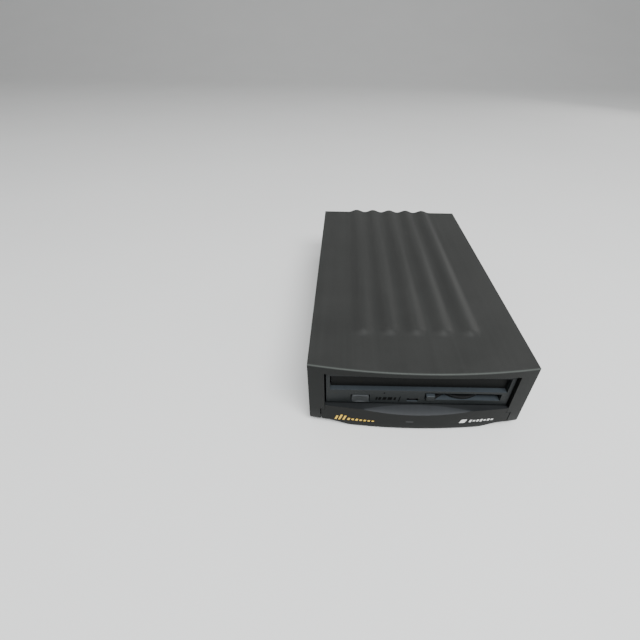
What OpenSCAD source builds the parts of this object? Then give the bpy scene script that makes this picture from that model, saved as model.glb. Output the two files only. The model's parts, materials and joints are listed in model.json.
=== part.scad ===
// External removable-cartridge drive: a moulded desktop case around a 3.5-inch cartridge mechanism.
// Millimetres. +Z up, +Y from front to back, origin on the table under the middle of the case.

/* [Enclosure] */
// Width over the side walls
case_w = 121; // [116:0.5:150]
// Depth from the front corners to the rear edge
case_d = 206; // [200:1:260]
// Height of the shells, without feet and ridges
case_h = 43.5; // [42:0.5:56]
// Wall of the moulded shells
wall = 2.2; // [1.8:0.1:2.7]
// How far the middle of the front stands ahead of its corners
front_bow = 5.5; // [4:0.1:8]
// Height of the rubber feet under the shells
foot_h = 3; // [2.5:0.1:5]
// Radius of a rubber foot
foot_r = 6.5; // [5:0.5:9]
// Height of the tray's side lips inside the top cover
lip_h = 6; // [4:0.5:8]

/* [Top ridges] */
// Number of ridges
ridge_count = 5; // [1:2:7]
// Spacing of the ridges
ridge_pitch = 15.3; // [14.2:0.1:15.5]
// Width of one ridge
ridge_w = 13; // [9:0.5:14]
// Height of a ridge above the top
ridge_h = 2; // [1:0.1:2.8]
// Distance from the front corners to the ridges' noses
ridge_setback = 23; // [14:1:60]

/* [Front opening] */
// Gap between the opening and each side of the drive face
face_gap = 0.8; // [0.4:0.1:1.2]
// Height of the sill above the shell's underside
sill_h = 13.4; // [12.5:0.1:13.6]
// Height of the opening's upper edge above the sill, at the corners
opening_h = 24.8; // [24.2:0.1:25.4]
// Slope of the opening's upper edge and of the finger scoop
lip_slope = 28.5; // [15:0.5:35]
// Depth of the finger scoop at the middle of the chin
scoop_h = 2.8; // [1:0.1:3.5]
// Radius of the finger scoop
scoop_r = 235; // [160:5:400]
// Width of the chin between the two seams
chin_w = 108.5; // [106:0.5:110]
// Height of the seam above the shell's underside
seam_h = 9.7; // [7:0.1:11]
// How far the chin's lower lip hangs under the shells
chin_drop = 2.4; // [1:0.1:2.4]

/* [Drive unit] */
// Width of the drive
drive_w = 101.6; // [101.6]
// Height of the drive
drive_h = 25; // [24.6:0.1:25.2]
// Depth of the drive from its face
drive_d = 146; // [144:1:152]
// Height of the drive above the shell's underside
drive_lift = 13.9; // [13.6:0.1:14.2]
// Thickness of the drive's front bezel
bezel_t = 4; // [3.8:0.1:4.4]
// Wall of the drive's chassis
chassis_t = 1.5; // [1.2:0.1:1.6]
// Thickness of the drive's top plate
plate_t = 0.8; // [0.6:0.1:1]

/* [Cartridge slot] */
// Width of the cartridge slot
slot_w = 97.2; // [96.8:0.1:97.4]
// Height of the cartridge slot
slot_h = 10.6; // [10.2:0.1:10.8]
// Height of the slot above the drive's underside
slot_up = 10.1; // [10:0.1:10.3]
// Radius of the door's pin
door_pin_r = 0.8; // [0.6:0.1:0.9]
// Radius of the door's hinge barrel
door_barrel_r = 1.5; // [1.4:0.1:1.6]
// Thickness of the door
door_t = 1.5; // [1.2:0.1:1.6]

/* [Controls] */
// Width of the stop button
button_w = 9.7; // [7:0.1:12]
// Height of the stop button
button_h = 5.1; // [4:0.1:5.3]
// Travel of the stop button
button_travel = 1.2; // [0.8:0.1:1.4]
// Width of the status window
led_w = 6.3; // [4:0.1:8]
// Height of the status window
led_h = 2.4; // [1.6:0.1:3]

/* [Eject lever] */
// Distance of the lever's pivot behind the drive face
pivot_depth = 14; // [13:0.5:16]
// Sideways distance from the pivot to the lever's tab at rest
tab_x = 18.1; // [17:0.1:18.6]
// Radius of the lever's round hub
hub_r = 13.7; // [12.6:0.1:13.8]
// Thickness of the lever's hub
hub_t = 1.8; // [1.4:0.1:1.9]
// Radius of the lever's pivot post
post_r = 2; // [1.5:0.1:2.2]
// Travel of the loading slide over the lever's whole swing
cam_throw = 5; // [4:0.1:5.5]
// Lift of the spindle motor over the lever's whole swing
motor_lift = 2.4; // [1.8:0.1:2.5]

/* [Mechanism] */
// Distance of the spindle behind the drive face
spindle_depth = 55.6; // [54:0.1:58]
// Radius of the spindle motor's can
motor_r = 13.5; // [11:0.5:14]
// Radius of the spindle hub that carries the disk
chuck_r = 11; // [8:0.5:12]
// Length of the head arm from its pivot to the heads
arm_l = 42; // [36:0.5:44]
// Swing of the head arm from its parking ramp
arm_swing = 62; // [40:1:62]

/* [Rear panel] */
// Thickness of the rear panel
panel_t = 1.6; // [1.2:0.1:2]
// Distance of the rear panel's face inside the rear edge
panel_inset = 4.5; // [4:0.1:6]
// Distance between the two jack screws of a data port
jack_pitch = 47.04; // [47.04]
// Radius of the power inlet's round recess
inlet_r = 6.8; // [6:0.1:7.5]
// Depth of the power inlet's recess
inlet_depth = 8; // [6:0.5:9]

/* [Fasteners] */
// Radius of the screws' shanks
screw_r = 1.5; // [1.2:0.1:1.6]
// Radius of the screws' heads
screw_head_r = 2.8; // [2.4:0.1:2.9]
// Height of the screws' heads
screw_head_h = 1.8; // [1.4:0.1:2]

/* [Fits] */
// Gap between moulded parts that meet
fit_gap = 0.2; // [0.1:0.05:0.25]
// Radial clearance of a turning or sliding round part
run_gap = 0.05; // [0.03:0.01:0.1]

/* [Hidden] */
$fn = 64;
FINE = 0.01;
EPS = 0.5;

// case
y_nose = -(case_d + front_bow) / 2;
y_corner = y_nose + front_bow;
y_rear = -y_nose;
z_base = foot_h;
foot_seat = 0.8;
z_top = foot_h + case_h;
half_w = case_w / 2;
x_in = half_w - wall;
z_ceiling = z_top - wall;
bow_r = (half_w * half_w + front_bow * front_bow) / (2 * front_bow);
ridge_r = (ridge_w * ridge_w / 4 + ridge_h * ridge_h) / (2 * ridge_h);
ridge_y = y_corner + ridge_setback + ridge_w / 2;
front_t = 2.8;
y_front_in = y_corner + front_t;
floor_t = 2.2;
z_floor = z_base + floor_t;
lip_t = 1.6;
z_sill = z_base + sill_h;
z_seam = z_base + seam_h;
open_w = drive_w + 2 * face_gap;

// drive unit
face_setback = 0.6;
y_face = y_corner + face_setback;
y_chassis = y_face + bezel_t;
y_end = y_face + drive_d;
z_drive = z_base + drive_lift;
z_drive_top = z_drive + drive_h;
z_slot = z_drive + slot_up;
z_slot_top = z_slot + slot_h;
deck_t = 1.4;
deck_gap = 0.2;
z_deck = z_slot - deck_gap;
z_deck_low = z_deck - deck_t;
z_plate = z_drive_top - plate_t;
x_bay = drive_w / 2 - chassis_t;
guide_t = 0.8;
guide_gap = 0.05;

// door
door_depth = 3;
y_door = y_face + door_depth;
door_axis_y = y_door + door_barrel_r + 0.15;
door_axis_z = z_slot_top + door_barrel_r + 0.2;
door_w = slot_w - 0.8;
door_foot = 0.3;
spring_gap_w = 12;
bezel_lintel = 2.6;

// controls on the bezel
button_x = -31.8;
button_z = z_drive + 3.4;
button_proud = 0.8;
led_x = -2.5;
led_z = z_drive + 2.7;
pin_x = -18.6;
pin_z = z_drive + 8;
pin_hole_r = 0.55;

// lever and loading slide
lever_x = 25.1;
pivot_y = y_face + pivot_depth;
lever_slot_w = 2 * tab_x + 6;
lever_slot_z = z_drive + 3.3;
lever_slot_h = 5.1;
hub_z = lever_slot_z + 0.4;
tab_w = 5;
tab_h = 3.6;
tab_d = 4.5;
lever_arm_w = 4;
lever_swing = 2 * atan2(tab_x, pivot_depth);
cam_r0 = 5.6;
cam_half = 1.55;
cam_pin_r = 1.2;
slide_z = hub_z + hub_t + 0.3;
slide_t = 1.2;

// spindle
spindle_y = y_face + spindle_depth;
carriage_z = z_drive + 3.1;
carriage_t = 1.2;
carriage_w = 32.4;
rail_x = 17.6;
rail_t = 1.2;
lift_pin_r = 0.9;
lift_pin_z = carriage_z - 0.4;
lift_pin_y = 14;
guide_post_y = 20.5;
guide_post_r = 1.5;

// heads
arm_x = 22;
arm_y = y_face + 116.65;
arm_z_low = z_slot + 2.6;
arm_z_high = z_slot + 6.4;
arm_t = 1;
coil_r0 = 12;
coil_r1 = 24;
coil_half = 22;
yoke_t = 1.4;
magnet_t = 2;
coil_t = 2.2;
yoke_z = z_deck;
coil_z = yoke_z + yoke_t + magnet_t + 0.5;
yoke_top_z = coil_z + coil_t + 0.5 + magnet_t;

// boards
pcb_t = 1.6;
board_z = z_drive + 0.6;
board_top = board_z + pcb_t;

// screws
case_boss_r = 3;
case_boss_x = x_in - case_boss_r - 0.2;
case_boss_y = [y_corner + 13, y_rear - 14];
z_joint = z_floor + 3;
head_depth = 2.4;
mount_x = 47.625;
mount_y = [y_face + 45, y_face + 89.45];
mount_r = 3.2;
bracket_t = 1;
bracket_z = z_drive - bracket_t - FINE;
shank_gap = 0.02;
hole_gap = 0.1;

// rear panel
y_panel = y_rear - panel_inset - panel_t;
panel_low = z_floor + 0.2;
rib_h = 2;
id_half = [5.4, 8.1];
inlet_wall = 0.9;
panel_high = z_ceiling - 0.3;
panel_half = x_in - 0.3;
panel_face = y_panel + panel_t;
io_y = y_panel - 9.5;
port_x = -24;
port_z = [z_base + 13.5, z_base + 30.5];
port_w = 39;
port_h = 8.4;
flange_w = 53;
flange_h = 12.5;
flange_t = 0.9;
jack_hole_r = 1.42;
jack_hex = 5.5;
switch_x = 43;
switch_z = z_base + 15.5;
id_x = 17;
id_z = z_ceiling - rib_h - fit_gap - id_half[1];
inlet_x = id_x;
inlet_z = id_z - id_half[1] - 1.2 - inlet_wall - inlet_r;
vent_x = 43;
vent_z = z_base + 34;

// ---------- shared shapes ----------

// Box by its lowest corner and its highest corner.
module span(low, high) {
    translate(low) cube(high - low);
}

// Box centred on x, by half width and by its y and z limits.
module span_x(half, ys, zs) {
    span([-half, ys[0], zs[0]], [half, ys[1], zs[1]]);
}

// Corner points of a rectangle with round corners, counter-clockwise.
function round_rect(w, d, r, steps = 6) = [
    for (q = [0:3]) for (i = [0:steps])
        let (a = 90 * (q + i / steps),
             cx = (q == 0 || q == 3 ? 1 : -1) * (w / 2 - r),
             cy = (q < 2 ? 1 : -1) * (d / 2 - r))
            [cx + r * cos(a), cy + r * sin(a)]
];

// Plate that stands across the y axis: w along x, h along z, t along y from y = 0.
module round_panel(w, h, t, r) {
    translate([0, t, 0]) rotate([90, 0, 0]) linear_extrude(t) polygon(round_rect(w, h, r));
}

// Round rod along y, from y = 0.
module rod_y(r, l, sides = $fn) {
    rotate([-90, 0, 0]) cylinder(r = r, h = l, $fn = sides);
}

// Round rod along x, from x = 0.
module rod_x(r, l) {
    rotate([0, 90, 0]) cylinder(r = r, h = l);
}

// Points of a band between two radii, from one angle to another.
function sector(r0, r1, a0, a1, steps = 16) = concat(
    [for (i = [0:steps]) let (a = a0 + (a1 - a0) * i / steps) r1 * [cos(a), sin(a)]],
    [for (i = [steps:-1:0]) let (a = a0 + (a1 - a0) * i / steps) r0 * [cos(a), sin(a)]]
);

// Everything behind the curved front, moved back by inset.
module behind_bow(inset = 0) {
    translate([0, y_nose + bow_r, 0]) cylinder(r = bow_r - inset, h = z_top + 20, $fn = 256);
}

// Screw with its head downwards, the head's underside at z = 0 and the shank upwards.
module screw(l, r = screw_r, head_r = screw_head_r, head_h = screw_head_h) {
    difference() {
        union() {
            cylinder(r = head_r, h = head_h);
            cylinder(r = r, h = head_h + l);
        }
        for (a = [0, 90]) rotate(a) translate([-head_r * 0.6, -0.3, -EPS])
            cube([head_r * 1.2, 0.6, EPS + head_h * 0.5]);
    }
}

// ---------- case ----------

// x positions of the ridges.
function ridge_xs() = [for (i = [0:ridge_count - 1]) (i - (ridge_count - 1) / 2) * ridge_pitch];

// One ridge: a long round bar with a ball nose, grown or shrunk by grow.
module ridge(grow = 0) {
    translate([0, ridge_y, z_top + ridge_h - ridge_r]) {
        sphere(r = ridge_r + grow);
        rod_y(ridge_r + grow, y_rear - ridge_y + (grow < 0 ? EPS : 0));
    }
}

// Space under the sloping upper edge of the front opening.
module opening_prism() {
    y0 = y_nose - 2;
    y1 = y_face - fit_gap;
    y_edge = y_corner - front_bow * (1 - pow(open_w / case_w, 2));
    z_edge = z_sill + opening_h;
    function z_at(y) = z_edge + (y_edge - y) * tan(lip_slope);
    translate([-open_w / 2, 0, 0]) rotate([90, 0, 90]) linear_extrude(open_w)
        polygon([[y0, 0], [y1 + FINE, 0], [y1 + FINE, z_at(y1)], [y0, z_at(y0)]]);
}

module cover_bosses() {
    for (sx = [-1, 1], y = case_boss_y) translate([sx * case_boss_x, y, z_joint + FINE]) {
        cylinder(r = case_boss_r, h = z_ceiling - z_joint + FINE);
        span([-0.8 + sx * 1.5, -0.8, 0], [0.8 + sx * 1.5, 0.8, z_ceiling - z_joint + FINE]);
    }
}

// Rib around the inside of the rear, which the rear panel bears on.
module cover_rear_rib() {
    rib_t = 1.5;
    y0 = y_panel - 0.1 - rib_t;
    difference() {
        span_x(x_in + FINE, [y0, y0 + rib_t], [z_joint + 1, z_ceiling + FINE]);
        span_x(x_in - rib_h, [y0 - EPS, y0 + rib_t + EPS], [z_joint, z_ceiling - rib_h]);
    }
}

module top_cover() {
    bezel_pocket = drive_h + 0.8;
    color([0.27, 0.28, 0.27])
    difference() {
        union() {
            difference() {
                union() {
                    intersection() {
                        span_x(half_w, [y_nose, y_rear], [z_base, z_top]);
                        behind_bow();
                    }
                    intersection() {
                        for (x = ridge_xs()) translate([x, 0, 0]) ridge();
                        span_x(half_w, [y_nose, y_rear], [z_top - wall / 2, z_top + ridge_h + 1]);
                    }
                }
                span_x(x_in, [y_front_in, y_rear + EPS], [z_base - EPS, z_ceiling]);
                for (x = ridge_xs()) translate([x, 0, 0]) ridge(-wall);
            }
            cover_bosses();
            cover_rear_rib();
        }
        opening_prism();
        span_x(open_w / 2, [y_face - fit_gap, y_front_in + EPS], [z_base, z_sill + bezel_pocket]);
        span_x(chin_w / 2, [y_nose - EPS, y_front_in + EPS], [z_base - EPS, z_seam]);
        for (sx = [-1, 1], y = case_boss_y) translate([sx * case_boss_x, y, z_joint - EPS])
            cylinder(r = screw_r + shank_gap, h = 14);
    }
}

// Lower lip of the chin: flat in the middle, rising to the shell's underside at both ends.
module chin_lip() {
    flat = 36;
    ease = 14;
    steps = 8;
    rise = [for (i = [0:steps]) let (t = i / steps) [flat + ease * t, t * t * (3 - 2 * t) * chin_drop]];
    low = z_base - chin_drop;
    outline = concat([for (p = rise) [p[0], low + p[1]]], [[flat + ease, z_floor]],
                     [[-flat - ease, z_floor]], [for (i = [steps:-1:0]) [-rise[i][0], low + rise[i][1]]]);
    lip_depth = 13;
    intersection() {
        translate([0, y_nose + lip_depth, 0]) rotate([90, 0, 0]) linear_extrude(lip_depth) polygon(outline);
        translate([0, 0, -10]) behind_bow();
    }
}

// Chin block between the seams, narrower above the seam, cut to the bowed front.
module chin_block(inset, z0, z1) {
    side = fit_gap * 0.75 + inset;
    intersection() {
        union() {
            span_x(chin_w / 2 - side, [y_nose, y_front_in + 1], [z0, min(z1, z_seam - fit_gap * 0.75)]);
            span_x(open_w / 2 - side, [y_nose, y_front_in + 1], [z0, z1]);
        }
        behind_bow(inset);
    }
}

// The shallow scoop across the middle of the sill, deepest at the front.
module finger_scoop() {
    translate([0, y_nose, z_sill - scoop_h]) rotate([lip_slope, 0, 0])
        translate([0, -20, scoop_r]) rod_y(scoop_r, 60, 256);
}

module tray_posts() {
    for (sx = [-1, 1]) {
        for (y = mount_y) translate([sx * mount_x, y, z_floor - FINE])
            cylinder(r = mount_r, h = bracket_z - z_floor + FINE);
        for (y = case_boss_y) translate([sx * case_boss_x, y, z_floor - FINE])
            cylinder(r = case_boss_r, h = z_joint - z_floor + FINE);
    }
}

module tray_holes() {
    for (sx = [-1, 1]) {
        for (y = mount_y) translate([sx * mount_x, y, z_base - EPS]) {
            cylinder(r = screw_r + hole_gap, h = 30);
            cylinder(r = screw_head_r + 0.2, h = EPS + head_depth);
        }
        for (y = case_boss_y) translate([sx * case_boss_x, y, z_base - EPS]) {
            cylinder(r = screw_r + hole_gap, h = 30);
            cylinder(r = screw_head_r + 0.1, h = EPS + head_depth);
        }
    }
}

function foot_spots() = [
    for (sx = [-1, 1]) for (y = [y_corner + 28, y_rear - 26]) [sx * (half_w - 15), y]
];

// Rows of slots through the tray's floor.
module floor_vents() {
    slot = 34;
    for (y0 = [-30, 30], i = [-3:3]) translate([0, y0 + i * 6, z_base - EPS])
        translate([-slot / 2, -1.2, 0]) cube([slot, 2.4, floor_t + 2 * EPS]);
}

module bottom_tray() {
    tray_half = x_in - fit_gap;
    color([0.25, 0.26, 0.26])
    difference() {
        union() {
            difference() {
                union() {
                    chin_block(0, z_base, z_sill);
                    span_x(tray_half, [y_front_in + fit_gap, y_rear - 0.4], [z_base, z_floor + lip_h]);
                }
                chin_block(2.4, z_floor, z_sill - scoop_h);
                span_x(tray_half - lip_t, [y_front_in + fit_gap - EPS, y_panel - 2],
                       [z_floor, z_floor + lip_h + EPS]);
                span_x(open_w / 2, [y_face - fit_gap, y_front_in + 2], [z_sill - EPS - 1, z_sill + EPS]);
                span_x(tray_half + EPS, [y_panel - 2.4, y_rear], [z_floor + 2.4, z_floor + lip_h + EPS]);
                span_x(x_in, [y_panel - 0.1, panel_face + 0.1], [panel_low - 0.1, z_top]);
            }
            chin_lip();
            tray_posts();
        }
        finger_scoop();
        tray_holes();
        floor_vents();
        for (p = foot_spots()) translate([p[0], p[1], z_base - EPS])
            cylinder(r = foot_r + 0.05, h = EPS + foot_seat);
        for (sx = [-1, 1], y = case_boss_y) translate([sx * case_boss_x, y, z_joint])
            cylinder(r = case_boss_r + fit_gap, h = lip_h);
    }
}

module rubber_feet() {
    color([0.1, 0.1, 0.1])
    for (p = foot_spots()) translate([p[0], p[1], 0]) {
        cylinder(r1 = foot_r - 0.7, r2 = foot_r, h = 0.8);
        translate([0, 0, 0.8]) cylinder(r = foot_r, h = z_base + foot_seat - 0.8 - FINE);
    }
}

module case_screws() {
    color([0.7, 0.7, 0.72])
    for (sx = [-1, 1], y = case_boss_y)
        translate([sx * case_boss_x, y, z_base + head_depth - screw_head_h - FINE]) screw(14);
}

module drive_screws() {
    grip = z_drive - z_base - head_depth + 4;
    color([0.7, 0.7, 0.72])
    for (sx = [-1, 1], y = mount_y)
        translate([sx * mount_x, y, z_base + head_depth - screw_head_h - FINE]) screw(grip);
}

// ---------- drive unit: housing ----------

module drive_bracket() {
    rim = 7;
    color([0.72, 0.73, 0.74])
    difference() {
        span_x(drive_w / 2, [mount_y[0] - rim, mount_y[1] + rim], [bracket_z, bracket_z + bracket_t]);
        span_x(mount_x - rim, [mount_y[0] + rim, mount_y[1] - rim], [bracket_z - EPS, z_drive]);
        for (sx = [-1, 1], y = mount_y) translate([sx * mount_x, y, bracket_z - EPS])
            cylinder(r = screw_r + hole_gap, h = bracket_t + 2 * EPS);
    }
}

// Spots of the screws that hold the top plate, and of those that hold the drive's board.
function plate_spots() = [for (sx = [-1, 1]) for (y = [y_face + 40, y_end - 8]) [sx * (x_bay - 3.5), y]];
function board_spots() = [for (sx = [-1, 1]) for (y = [y_chassis + 12, y_end - 14]) [sx * (x_bay - 6), y]];
small_r = 1;
small_head_r = 1.9;
small_bite = 2.4;

// Hooks under the deck that carry the loading slide's flanges.
module slide_hooks() {
    toe = 2.2;
    for (sx = [-1, 1], y = [spindle_y - 18, spindle_y + 10]) {
        span([sx > 0 ? flange_x + 0.3 : -flange_x - 1.5, y, slide_z - 0.9],
             [sx > 0 ? flange_x + 1.5 : -flange_x - 0.3, y + 6, z_deck_low + FINE]);
        span([sx > 0 ? flange_x - toe : -flange_x - 1.5, y, slide_z - 0.9],
             [sx > 0 ? flange_x + 1.5 : -flange_x + toe, y + 6, slide_z - 0.2]);
    }
}
flange_x = 23.5;

module drive_chassis() {
    tab_drop = 2.4;
    tab_half = 4;
    color([0.62, 0.63, 0.65])
    difference() {
        union() {
            difference() {
                span_x(drive_w / 2, [y_chassis, y_end], [z_drive, z_plate]);
                span_x(x_bay, [y_chassis - EPS, y_end - chassis_t], [z_deck, z_plate + EPS]);
                span_x(x_bay, [y_chassis - EPS, y_end - chassis_t], [z_drive - EPS, z_deck_low]);
            }
            for (p = plate_spots()) span([p[0] - (p[0] > 0 ? tab_half : x_bay + p[0] + FINE),
                p[1] - tab_half, z_plate - tab_drop],
                [p[0] + (p[0] > 0 ? x_bay - p[0] + FINE : tab_half), p[1] + tab_half, z_plate]);
            for (p = board_spots()) translate([p[0], p[1], board_top + FINE])
                cylinder(r = 2.2, h = z_deck_low - board_top);
            for (sx = [-1, 1], y = mount_y) translate([sx * mount_x, y, z_drive])
                cylinder(r = mount_r - 0.2, h = 4.6);
            slide_hooks();
        }
        translate([0, spindle_y, z_deck_low - EPS]) cylinder(r = motor_r + 0.6, h = deck_t + 2 * EPS);
        for (sx = [-1, 1], y = mount_y) translate([sx * mount_x, y, z_drive - EPS])
            cylinder(r = screw_r + shank_gap, h = EPS + 4.3);
        for (p = plate_spots()) translate([p[0], p[1], z_plate - tab_drop - EPS])
            cylinder(r = small_r + shank_gap, h = tab_drop + 2 * EPS);
        for (p = board_spots()) translate([p[0], p[1], board_top - EPS])
            cylinder(r = small_r + shank_gap, h = small_bite + EPS + 0.3);
        span([data_x - data_w / 2 - 0.3, y_end - chassis_t - EPS, z_drive - EPS],
             [data_x + data_w / 2 + 0.3, y_end + EPS, board_top + header_h + 0.1]);
        span([power_x - power_w / 2 - 0.3, y_end - chassis_t - EPS, z_drive - EPS],
             [power_x + power_w / 2 + 0.3, y_end + EPS, board_top + header_h + 0.1]);
        for (sx = [-1, 1]) span([sx * drive_w / 2 - 2, y_chassis + 5, z_drive + 2.5],
            [sx * drive_w / 2 + 2, y_chassis + 8, z_drive + 6.5]);
    }
}

module drive_top_plate() {
    color([0.7, 0.71, 0.73])
    difference() {
        span_x(drive_w / 2, [y_chassis + FINE, y_end], [z_plate + FINE, z_drive_top]);
        for (p = plate_spots()) translate([p[0], p[1], z_plate - EPS])
            cylinder(r = small_r + hole_gap, h = plate_t + 2 * EPS);
        for (i = [-2:2]) translate([i * 12 - 4, spindle_y - 15, z_plate - EPS]) cube([3, 30, plate_t + 2 * EPS]);
    }
}

module small_screws() {
    head_h = 0.5;
    color([0.75, 0.75, 0.76])
    union() {
        for (p = plate_spots()) translate([p[0], p[1], z_drive_top + head_h + FINE]) rotate([180, 0, 0])
            screw(small_bite + plate_t, small_r, small_head_r, head_h);
        for (p = board_spots()) translate([p[0], p[1], board_z - head_h - FINE])
            screw(small_bite + pcb_t, small_r, small_head_r, head_h);
    }
}

// Round lugs behind the lintel that hold the ends of the door's pin.
lug_in = slot_w / 2 - 2.4;
lug_r = 1.5;

module bezel_lugs() {
    for (sx = [-1, 1]) {
        x0 = sx > 0 ? lug_in : -slot_w / 2 - FINE;
        translate([x0, door_axis_y, door_axis_z]) rod_x(lug_r, slot_w / 2 + FINE - lug_in);
        span([x0, y_face + bezel_lintel - EPS, door_axis_z - 0.8],
             [x0 + slot_w / 2 + FINE - lug_in, door_axis_y, door_axis_z + lug_r]);
    }
}

module drive_bezel() {
    arm_t0 = 1.1;
    color([0.24, 0.25, 0.27])
    difference() {
        union() {
            difference() {
                span_x(drive_w / 2, [y_face, y_chassis], [z_drive, z_drive_top]);
                span_x(slot_w / 2, [y_face - EPS, y_chassis + EPS], [z_slot, z_slot_top]);
                span_x(slot_w / 2, [y_face + bezel_lintel, y_chassis + EPS], [z_slot, z_drive_top + EPS]);
            }
            bezel_lugs();
            for (sx = [-1, 1]) {
                x0 = sx > 0 ? x_bay - 0.1 - arm_t0 : -x_bay + 0.1;
                span([x0, y_chassis - EPS, z_drive + 2], [x0 + arm_t0, y_chassis + 9, z_drive + 7]);
                span([sx * (x_bay + 0.2) - 0.35, y_chassis + 5.3, z_drive + 2.8],
                     [sx * (x_bay + 0.2) + 0.35, y_chassis + 7.7, z_drive + 6.2]);
            }
        }
        span([lever_x - lever_slot_w / 2, y_face - EPS, lever_slot_z],
             [lever_x + lever_slot_w / 2, y_chassis + EPS, lever_slot_z + lever_slot_h]);
        translate([button_x, y_face - EPS, button_z])
            round_panel(button_w + 0.8, button_h + 0.8, bezel_t + 2 * EPS, 1.2);
        translate([led_x, y_face - EPS, led_z]) round_panel(led_w, led_h, bezel_t + 2 * EPS, 0.3);
        translate([pin_x, y_face - EPS, pin_z]) rod_y(pin_hole_r, bezel_t + 2 * EPS);
        translate([-lug_in - 2, door_axis_y, door_axis_z]) rod_x(door_pin_r + 0.01, 2 * lug_in + 4);
    }
}

module door_pin() {
    color([0.75, 0.75, 0.76])
    translate([-lug_in - 1.8, door_axis_y, door_axis_z]) rod_x(door_pin_r, 2 * lug_in + 3.6);
}

module cartridge_door() {
    barrel_half = lug_in - 0.2;
    skirt_top = door_axis_z - 1.9;
    color([0.2, 0.21, 0.23])
    difference() {
        union() {
            span_x(door_w / 2, [y_door, y_door + door_t], [z_slot + door_foot, skirt_top]);
            span_x(barrel_half, [y_door, y_door + door_t], [skirt_top - EPS, door_axis_z]);
            translate([-barrel_half, door_axis_y, door_axis_z]) rod_x(door_barrel_r, 2 * barrel_half);
        }
        translate([-barrel_half - EPS, door_axis_y, door_axis_z])
            rod_x(door_pin_r + run_gap, 2 * barrel_half + 2 * EPS);
        translate([-spring_gap_w / 2, door_axis_y, door_axis_z]) rod_x(door_barrel_r + 0.3, spring_gap_w);
    }
}

module door_spring() {
    wire = 0.5;
    coil_w = spring_gap_w - 2;
    ring_pitch = 1;
    coil_r = door_pin_r + 0.3;
    color([0.78, 0.78, 0.8])
    translate([0, door_axis_y, door_axis_z]) difference() {
        union() {
            translate([-coil_w / 2, 0, 0]) rod_x(coil_r + wire / 2 - 0.15, coil_w);
            for (i = [0:coil_w / ring_pitch - 1]) translate([-coil_w / 2 + ring_pitch * i, 0, 0])
                rod_x(coil_r + wire / 2, wire);
            span([-coil_w / 2, y_face + bezel_lintel + 0.02 - door_axis_y, coil_r + wire / 2 - 0.5],
                 [wire - coil_w / 2, 0, coil_r + wire / 2]);
            span([coil_w / 2 - wire, y_door + door_t + 0.02 - door_axis_y, -6],
                 [coil_w / 2, y_door + door_t + 0.52 - door_axis_y, -coil_r]);
        }
        translate([-coil_w, 0, 0]) rod_x(coil_r, 2 * coil_w);
    }
}

// ---------- controls on the bezel ----------

module stop_button() {
    cap_back = y_chassis + 0.2;
    stem_end = switch_y - button_travel - 0.05;
    color([0.34, 0.35, 0.36])
    difference() {
        union() {
            translate([button_x, y_face - button_proud, button_z])
                round_panel(button_w, button_h, cap_back + 0.5 - y_face + button_proud, 0.9);
            translate([button_x, cap_back, button_z]) round_panel(button_w + 2, button_h + 0.4, 1, 0.9);
            span([button_x - 1.5, cap_back, board_top + 0.6], [button_x + 1.5, stem_end, board_top + 3]);
        }
        translate([button_x, y_face - button_proud - 28.5, button_z - 10]) cylinder(r = 29, h = 20);
    }
}
board_y = y_chassis + 6.5;
switch_y = board_y + 0.05;

module stop_switch() {
    color([0.15, 0.15, 0.16])
    span([button_x - 3.5, switch_y, board_top], [button_x + 3.5, switch_y + 4.5, board_top + 3.4]);
}

module status_window() {
    color([0.3, 0.22, 0.12])
    translate([led_x, y_face + 0.9, led_z])
        round_panel(led_w - 0.06, led_h - 0.06, bezel_t - 1, 0.3);
}

module status_led() {
    bulb_r = 1.4;
    color([0.9, 0.75, 0.3])
    union() {
        translate([led_x, y_chassis + 0.6, board_top + bulb_r + 0.2]) rod_y(bulb_r, board_y - y_chassis);
        span([led_x - 1.6, board_y + 0.4, board_top], [led_x + 1.6, board_y + 3, board_top + 3.2]);
    }
}

// ---------- lever, loading slide and motor lift ----------

// Centre of the cam slot at a share t of the swing, in the lever's frame at rest.
function cam_point(t, off = 0) = (cam_r0 + cam_throw * t + off)
    * [cos(90 - lever_swing * t), sin(90 - lever_swing * t)];

module cam_slot() {
    steps = 24;
    path = concat([for (i = [0:steps]) cam_point(i / steps, cam_half)],
                  [for (i = [steps:-1:0]) cam_point(i / steps, -cam_half)]);
    linear_extrude(hub_t + 2 * EPS) polygon(path);
    for (t = [0, 1]) translate([cam_point(t)[0], cam_point(t)[1], 0])
        cylinder(r = cam_half, h = hub_t + 2 * EPS);
}

module eject_lever() {
    arm_angle = atan2(-pivot_depth, -tab_x);
    color([0.3, 0.31, 0.32])
    translate([lever_x, pivot_y, hub_z]) difference() {
        union() {
            cylinder(r = hub_r, h = hub_t);
            rotate(arm_angle) translate([post_r + 2, -lever_arm_w / 2, 0])
                cube([sqrt(pow(tab_x, 2) + pow(pivot_depth, 2)) - post_r - 2, lever_arm_w, hub_t]);
            translate([-tab_x - tab_w / 2, -pivot_depth - 1.5, 0]) cube([tab_w, tab_d, tab_h]);
        }
        translate([0, 0, -EPS]) cylinder(r = post_r + run_gap, h = hub_t + 2 * EPS);
        translate([0, 0, -EPS]) cam_slot();
    }
}

clip_z = hub_z - 0.75;
clip_t = 0.5;
groove_r = post_r - 0.5;

module lever_post() {
    color([0.75, 0.75, 0.76])
    translate([lever_x, pivot_y, 0]) difference() {
        union() {
            translate([0, 0, board_top + 0.25]) cylinder(r = post_r, h = z_deck_low - board_top - 0.25);
            translate([0, 0, hub_z + hub_t + 0.15]) cylinder(r = post_r + 1.1, h = z_deck_low - hub_z - hub_t - 0.15);
        }
        translate([0, 0, clip_z - 0.05]) difference() {
            cylinder(r = post_r + 1, h = clip_t + 0.1);
            translate([0, 0, -EPS]) cylinder(r = groove_r, h = clip_t + 2 * EPS);
        }
    }
}

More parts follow.
